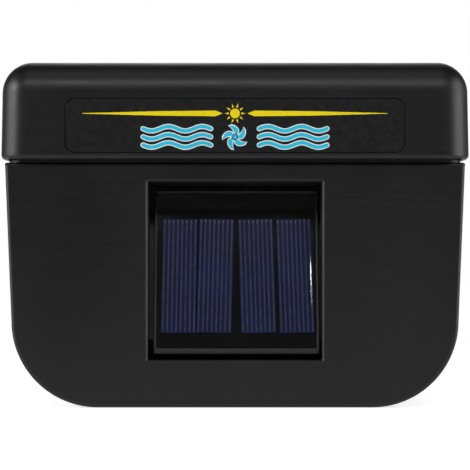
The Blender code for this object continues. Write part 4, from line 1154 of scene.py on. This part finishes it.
def make_resin(count=150, extra=60):
    gap = 0.02 * MM
    half, low, high = POCKET_HALF - gap, TRAY_BAR + gap, POCKET_TOP - gap
    xs = [-half * math.cos(math.pi * i / count) for i in range(count + 1)]
    bm = bmesh.new()
    grid = []
    for share in resin_rows(count, extra):
        z = low + (high - low) * share
        grid.append([bm.verts.new((x, -resin_height(x, z, half, low, high), z)) for x in xs])
    for lower, upper in zip(grid, grid[1:]):
        for i in range(count):
            bm.faces.new((lower[i], lower[i + 1], upper[i + 1], upper[i]))
    right = [row[-1] for row in grid[1:]]
    left = [row[0] for row in grid[-2:0:-1]]
    edge = grid[0] + right + grid[-1][-2::-1] + left
    under = [bm.verts.new((v.co.x, RESIN_UNDER, v.co.z)) for v in edge]
    for i, vert in enumerate(edge):
        j = (i + 1) % len(edge)
        bm.faces.new((vert, edge[j], under[j], under[i]))
    bm.faces.new(under)
    obj = to_object("panel_resin_cast", bm)
    obj.data.transform(PANEL_FRAME)
    finish_piece(obj, HOUSING, "resin", ["panel_resin"])


# Rubber pads


def make_pads():
    """Rubber pads on the plates and the seat on the glass's edge, with soft rims."""
    for name in ("glass_seat", "glass_pad_outer", "glass_pad_inner"):
        pad = soft_box(name + "_rubber", *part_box(name), 0.28 * MM, 4)
        finish_piece(pad, HOUSING, "rubber", [name])


# Screws


def make_screw(name, kind, sunk):
    """One screw with a thread, a domed or flat head and a cross in it."""
    head, high, shank, length = kind
    top = SCREW_GAP if sunk else high
    bm = bmesh.new()
    start, stop = -length + shank, -high if sunk else 0
    core = shank * 0.8
    profile = [(shank * 0.25, -length), (core, start)]
    turns = int((length - high - shank) / THREAD_PITCH)
    for i in range(turns):
        z = start + (stop - start) * i / turns
        profile += [(core, z + 0.15 * MM), (shank, z + 0.42 * MM), (core, z + 0.7 * MM)]
    profile.append((core, stop))
    if sunk:
        profile += [(head, -0.05 * MM), (head, top - 0.1 * MM), (head - 0.1 * MM, top)]
    else:
        brim = 0.42
        profile += [(head - 0.1 * MM, 0), (head, 0.1 * MM), (head, high * brim)]
        for a in (0.35, 0.7, 1.05, 1.35):
            profile.append((head * math.cos(a), high * (brim + (1 - brim) * math.sin(a))))
    add_turned(bm, profile, sides=36)
    obj = to_object(name, bm)
    cross = bmesh.new()
    wing, wide, deep = head * 0.6, head * 0.13, high * 0.6
    quarter = [Matrix.Rotation(math.pi / 2 * i, 2) for i in range(4)]
    rows = []
    for height, share in ((top - deep, 0.45), (top + 0.02 * MM, 1.0), (top + PAST, 1.0)):
        arm = [(wing * share, -wide), (wing * share, wide), (wide, wide)]
        rows.append([(*(turn @ Vector(p)), height) for turn in quarter for p in arm])
    add_loft(cross, rows)
    return cut(obj, cross)


def make_screws():
    """Every screw, put at its place and turned to where the driver left it."""
    groups = (
        ("plate_screws", SUNK, True, PLATE_SCREWS, True, "1234"),
        ("casing_screws", PAN, False, CASING_SCREWS, True, "1234"),
        ("bridge_screws", PAN, False, BRIDGE_SCREWS, False, "1234"),
        ("hood_screws", SUNK, True, HOOD_SCREWS, True, ("left", "right")),
        ("strap_screws", PAN, False, STRAP_SCREWS, True, ("lower", "upper")),
        ("guide_screws", SHORT_PAN, False, GUIDE_SCREWS, True, "1234"),
    )
    for seed, (name, kind, sunk, places, to_rear, ends) in enumerate(groups, 1):
        replaced = [f"{name[:-1]}_{end}" for end in ends]
        screw = make_screw("screw", kind, sunk)
        turn = (-math.pi / 2, 0, 0) if to_rear else (0, 0, 0)
        obj = TREES["scatter"].grow(
            name, places, copied=screw, turn=turn, spread=math.pi, seed=seed
        )
        finish_piece(obj, HOUSING, "steel", replaced)


# Drums


def blade_outline(settings, steps=12):
    """One blade seen along X. Its outer edge leads the way round."""
    sides = ([], [])
    for i in range(steps + 1):
        share = i / steps
        reach = DRUM_INNER + (DRUM - SCREW_GAP - DRUM_INNER) * share
        angle = -settings.camber * share**1.6
        half = settings.thickness / 2 / reach * (1 if 0 < i < steps else 0.45)
        for side, shift in zip(sides, (half, -half)):
            side.append((reach * math.cos(angle + shift), reach * math.sin(angle + shift)))
    return sides[0] + sides[1][::-1]


def make_drums(settings):
    hub, hub_long, bore, near, far = 3 * MM, 5 * MM, 1.3 * MM, DRUM_NEAR, DRUM_FAR
    soft = 0.15 * MM
    for side, sign in (("left", -1), ("right", 1)):
        bm = bmesh.new()
        for start, inward in ((near, 1), (far, -1)):
            rows = [(bore, 0), (DRUM - soft, 0), (DRUM, soft), (DRUM, DISC - soft)]
            rows += [(DRUM - soft, DISC), (hub, DISC), (hub, hub_long - soft)]
            rows += [(hub - soft, hub_long), (bore, hub_long)]
            profile = [(r, sign * (start + inward * h)) for r, h in rows]
            add_turned(bm, profile, ALONG_X, loop=True, sides=72)
        drum = to_object(f"drum_{side}", bm)
        blade = bmesh.new()
        xs = sorted((sign * (near + DISC / 2), sign * (far - DISC / 2)))
        add_prism(blade, blade_outline(settings), "X", *xs)
        blades = ring_of(to_object("blade", blade), settings.blades, (1, 0, 0))
        fuse(drum, blades)
        drum.data.transform(Matrix.Translation(AXIS))
        finish_piece(drum, ROTOR, "inner_black", [f"impeller_{side}"])


# Carried-over pieces and the studio

CARRIED = {
    "black_abs": ("bridge",),
    "inner_black": ("motor_cap", "air_guide_left", "air_guide_right"),
    "rubber": ("motor_sleeve",),
    "magnet": ("magnet_front", "magnet_rear"),
    "steel": ("motor_can", "motor_strap", "rotor_shaft"),
    "iron": ("armature",),
    "brass": ("terminal_positive", "terminal_negative", "bush_left", "bush_right"),
    "red_pvc": ("wire_red",),
    "black_pvc": ("wire_black",),
}


def dress_carried():
    for finish, names in CARRIED.items():
        for name in names:
            obj = NODES[name]
            if not obj.material_slots:
                obj.data.materials.append(None)
            for index in range(len(obj.material_slots)):
                obj.material_slots[index].link = "OBJECT"
                obj.material_slots[index].material = MATERIALS[finish]


def stage_finish(settings):
    """Matt paper that gives a little light and fades into the surroundings further out."""
    made, reach = Finish("studio_paper", 0.9), settings.floor_reach
    tone = made.mottled(made.noise(3, 3), settings.backdrop, 0.985, 1.01)
    made.tree.links.new(tone, made.shader.inputs["Emission Color"])
    made.done(tone)
    eye = made.add("ShaderNodeLightPath").outputs["Is Camera Ray"]
    glow = made.between(eye, settings.floor_glow * 0.33, settings.floor_glow, 0, 1)
    made.tree.links.new(glow, made.shader.inputs["Emission Strength"])
    far = made.add("ShaderNodeVectorMath", made.place, operation="LENGTH")
    fade = made.between(far.outputs["Value"], 1, 0, reach * 0.3, reach)
    made.tree.links.new(fade, made.shader.inputs["Alpha"])
    return made.material


def make_floor(settings):
    """A paper disc under the object. Its edge has faded out before it ends."""
    bm = bmesh.new()
    add_turned(bm, [(settings.floor_reach, -2 * MM), (settings.floor_reach, -0.2 * MM)], sides=96)
    floor = to_object("studio_floor", bm)
    floor.data.materials.append(stage_finish(settings))


def make_lamp(name, place, aim, size, power):
    data = bpy.data.lights.new(name, "AREA")
    data.shape = "RECTANGLE"
    data.size, data.size_y = size
    data.energy = power
    lamp = link(name, data)
    lamp.location = place
    lamp.rotation_euler = (Vector(aim) - Vector(place)).to_track_quat("-Z", "Y").to_euler()
    lamp.visible_camera = False
    return lamp


def make_world():
    """White to the eye. On the object it throws a glow from behind and a dim band from in front."""
    world = bpy.data.worlds.new("studio")
    bpy.context.scene.world = world
    world.use_nodes = True
    tree = world.node_tree
    tree.nodes.clear()

    def add(kind, *sources, **values):
        return new_node(tree, kind, *sources, **values).outputs

    def ramp(source, *limits):
        return add("ShaderNodeMapRange", source, *limits)[0]

    way = add("ShaderNodeSeparateXYZ", add("ShaderNodeTexCoord")["Generated"])
    aside = add("ShaderNodeMath", way[0], operation="ABSOLUTE")[0]
    lean = add("ShaderNodeMath", aside, -0.8, way[1], operation="MULTIPLY_ADD")[0]
    behind = ramp(lean, 0.5, 0.85, 0, 2.0)
    front = ramp(way[2], 0.12, 0.4, 0.17, 0.03)
    strength = add("ShaderNodeMath", behind, front, operation="MAXIMUM")[0]
    thrown = add("ShaderNodeBackground", (1, 1, 1, 1), strength)[0]
    seen = add("ShaderNodeBackground", (1, 1, 1, 1), 1.0)[0]
    eye = add("ShaderNodeLightPath")["Is Camera Ray"]
    add("ShaderNodeOutputWorld", add("ShaderNodeMixShader", eye, thrown, seen)[0])


def make_camera(settings):
    data = bpy.data.cameras.new("camera")
    camera = link("camera", data)
    camera.location = (0, WIDEST_Y - settings.camera_distance, settings.camera_height)
    camera.rotation_euler = (math.pi / 2, 0, 0)
    data.sensor_width = 36
    data.lens = data.sensor_width * settings.camera_distance / settings.view_width
    data.clip_start, data.clip_end = 0.01, 50
    bpy.context.scene.camera = camera


def make_studio(settings):
    make_floor(settings)
    make_world()
    aim, resin = (0, 0, 0.06), (0, -0.02, 0.045)
    for name, side, share in (("side_left", -1, 1), ("side_right", 1, 1.15)):
        power = settings.side_power * share
        make_lamp(name, (side * 0.6, -0.12, 0.16), aim, (0.42, 0.6), power)
    make_lamp("front", (0, -0.61, 0.545), aim, (0.9, 0.1), settings.front_power)
    make_lamp("spark", (-0.53, -0.19, 0.255), resin, (0.06, 0.08), 0.6)
    make_lamp("top", (0, -0.2, 0.7), aim, (0.6, 0.3), settings.top_power)
    make_camera(settings)
    bpy.context.scene.view_settings.view_transform = "Standard"


# Operators


class FAN_OT_finishes(bpy.types.Operator):
    """Makes the materials and the node trees, and gives the carried-over parts their finish"""

    bl_idname = "fan.finishes"
    bl_label = "Finishes"

    def execute(self, context):
        make_materials(context.scene)
        TREES.update(row=row_tree(), ring=ring_tree(), scatter=scatter_tree())
        dress_carried()
        return {"FINISHED"}


class FAN_OT_casings(bpy.types.Operator):
    """Builds the front and rear casings and the two plates between them"""

    bl_idname = "fan.casings"
    bl_label = "Casings and plates"

    def execute(self, context):
        make_front_shell(context.scene.fan_shell)
        make_rear_shell(context.scene.fan_shell)
        make_plates(context.scene.fan_shell)
        return {"FINISHED"}


class FAN_OT_hood(bpy.types.Operator):
    """Builds the hood over the glass"""

    bl_idname = "fan.hood"
    bl_label = "Hood"

    def execute(self, context):
        make_hood(context.scene.fan_shell)
        return {"FINISHED"}


class FAN_OT_badge(bpy.types.Operator):
    """Builds the label on the hood and its printed signs"""

    bl_idname = "fan.badge"
    bl_label = "Label"

    def execute(self, context):
        make_badge()
        return {"FINISHED"}


class FAN_OT_panel(bpy.types.Operator):
    """Builds the solar panel: frame, board, cells, printed lines and resin"""

    bl_idname = "fan.panel"
    bl_label = "Solar panel"

    def execute(self, context):
        make_tray()
        make_board()
        make_cells(context.scene.fan_panel)
        make_resin()
        return {"FINISHED"}


class FAN_OT_pads(bpy.types.Operator):
    """Builds the rubber pads that hold the glass"""

    bl_idname = "fan.pads"
    bl_label = "Rubber pads"

    def execute(self, context):
        make_pads()
        return {"FINISHED"}


class FAN_OT_screws(bpy.types.Operator):
    """Builds every screw"""

    bl_idname = "fan.screws"
    bl_label = "Screws"

    def execute(self, context):
        make_screws()
        return {"FINISHED"}


class FAN_OT_drums(bpy.types.Operator):
    """Builds the two bladed drums of the rotor"""

    bl_idname = "fan.drums"
    bl_label = "Drums"

    def execute(self, context):
        make_drums(context.scene.fan_rotor)
        return {"FINISHED"}


class FAN_OT_studio(bpy.types.Operator):
    """Builds the floor, the lights, the surroundings and the camera"""

    bl_idname = "fan.studio"
    bl_label = "Studio"

    def execute(self, context):
        make_studio(context.scene.fan_studio)
        return {"FINISHED"}


OPERATORS = (
    FAN_OT_finishes,
    FAN_OT_casings,
    FAN_OT_hood,
    FAN_OT_badge,
    FAN_OT_panel,
    FAN_OT_pads,
    FAN_OT_screws,
    FAN_OT_drums,
    FAN_OT_studio,
)


class FAN_PT_sidebar(bpy.types.Panel):
    """Lists the pieces that can be built"""

    bl_idname = "FAN_PT_sidebar"
    bl_label = "Solar window fan"
    bl_space_type = "VIEW_3D"
    bl_region_type = "UI"
    bl_category = "Solar Fan"

    def draw(self, context):
        for operator in OPERATORS:
            self.layout.operator(operator.bl_idname)


SETTINGS = {
    "fan_shell": FanShellSettings,
    "fan_panel": FanPanelSettings,
    "fan_badge": FanBadgeSettings,
    "fan_rotor": FanRotorSettings,
    "fan_studio": FanStudioSettings,
}


def register():
    for kind in (*SETTINGS.values(), *OPERATORS, FAN_PT_sidebar):
        bpy.utils.register_class(kind)
    for name, kind in SETTINGS.items():
        setattr(bpy.types.Scene, name, bpy.props.PointerProperty(type=kind))


def unregister():
    for name in SETTINGS:
        delattr(bpy.types.Scene, name)
    for kind in reversed((*SETTINGS.values(), *OPERATORS, FAN_PT_sidebar)):
        bpy.utils.unregister_class(kind)


def main():
    register()
    for operator in OPERATORS:
        family, name = operator.bl_idname.split(".")
        getattr(getattr(bpy.ops, family), name)()


if __name__ == "__main__":
    main()
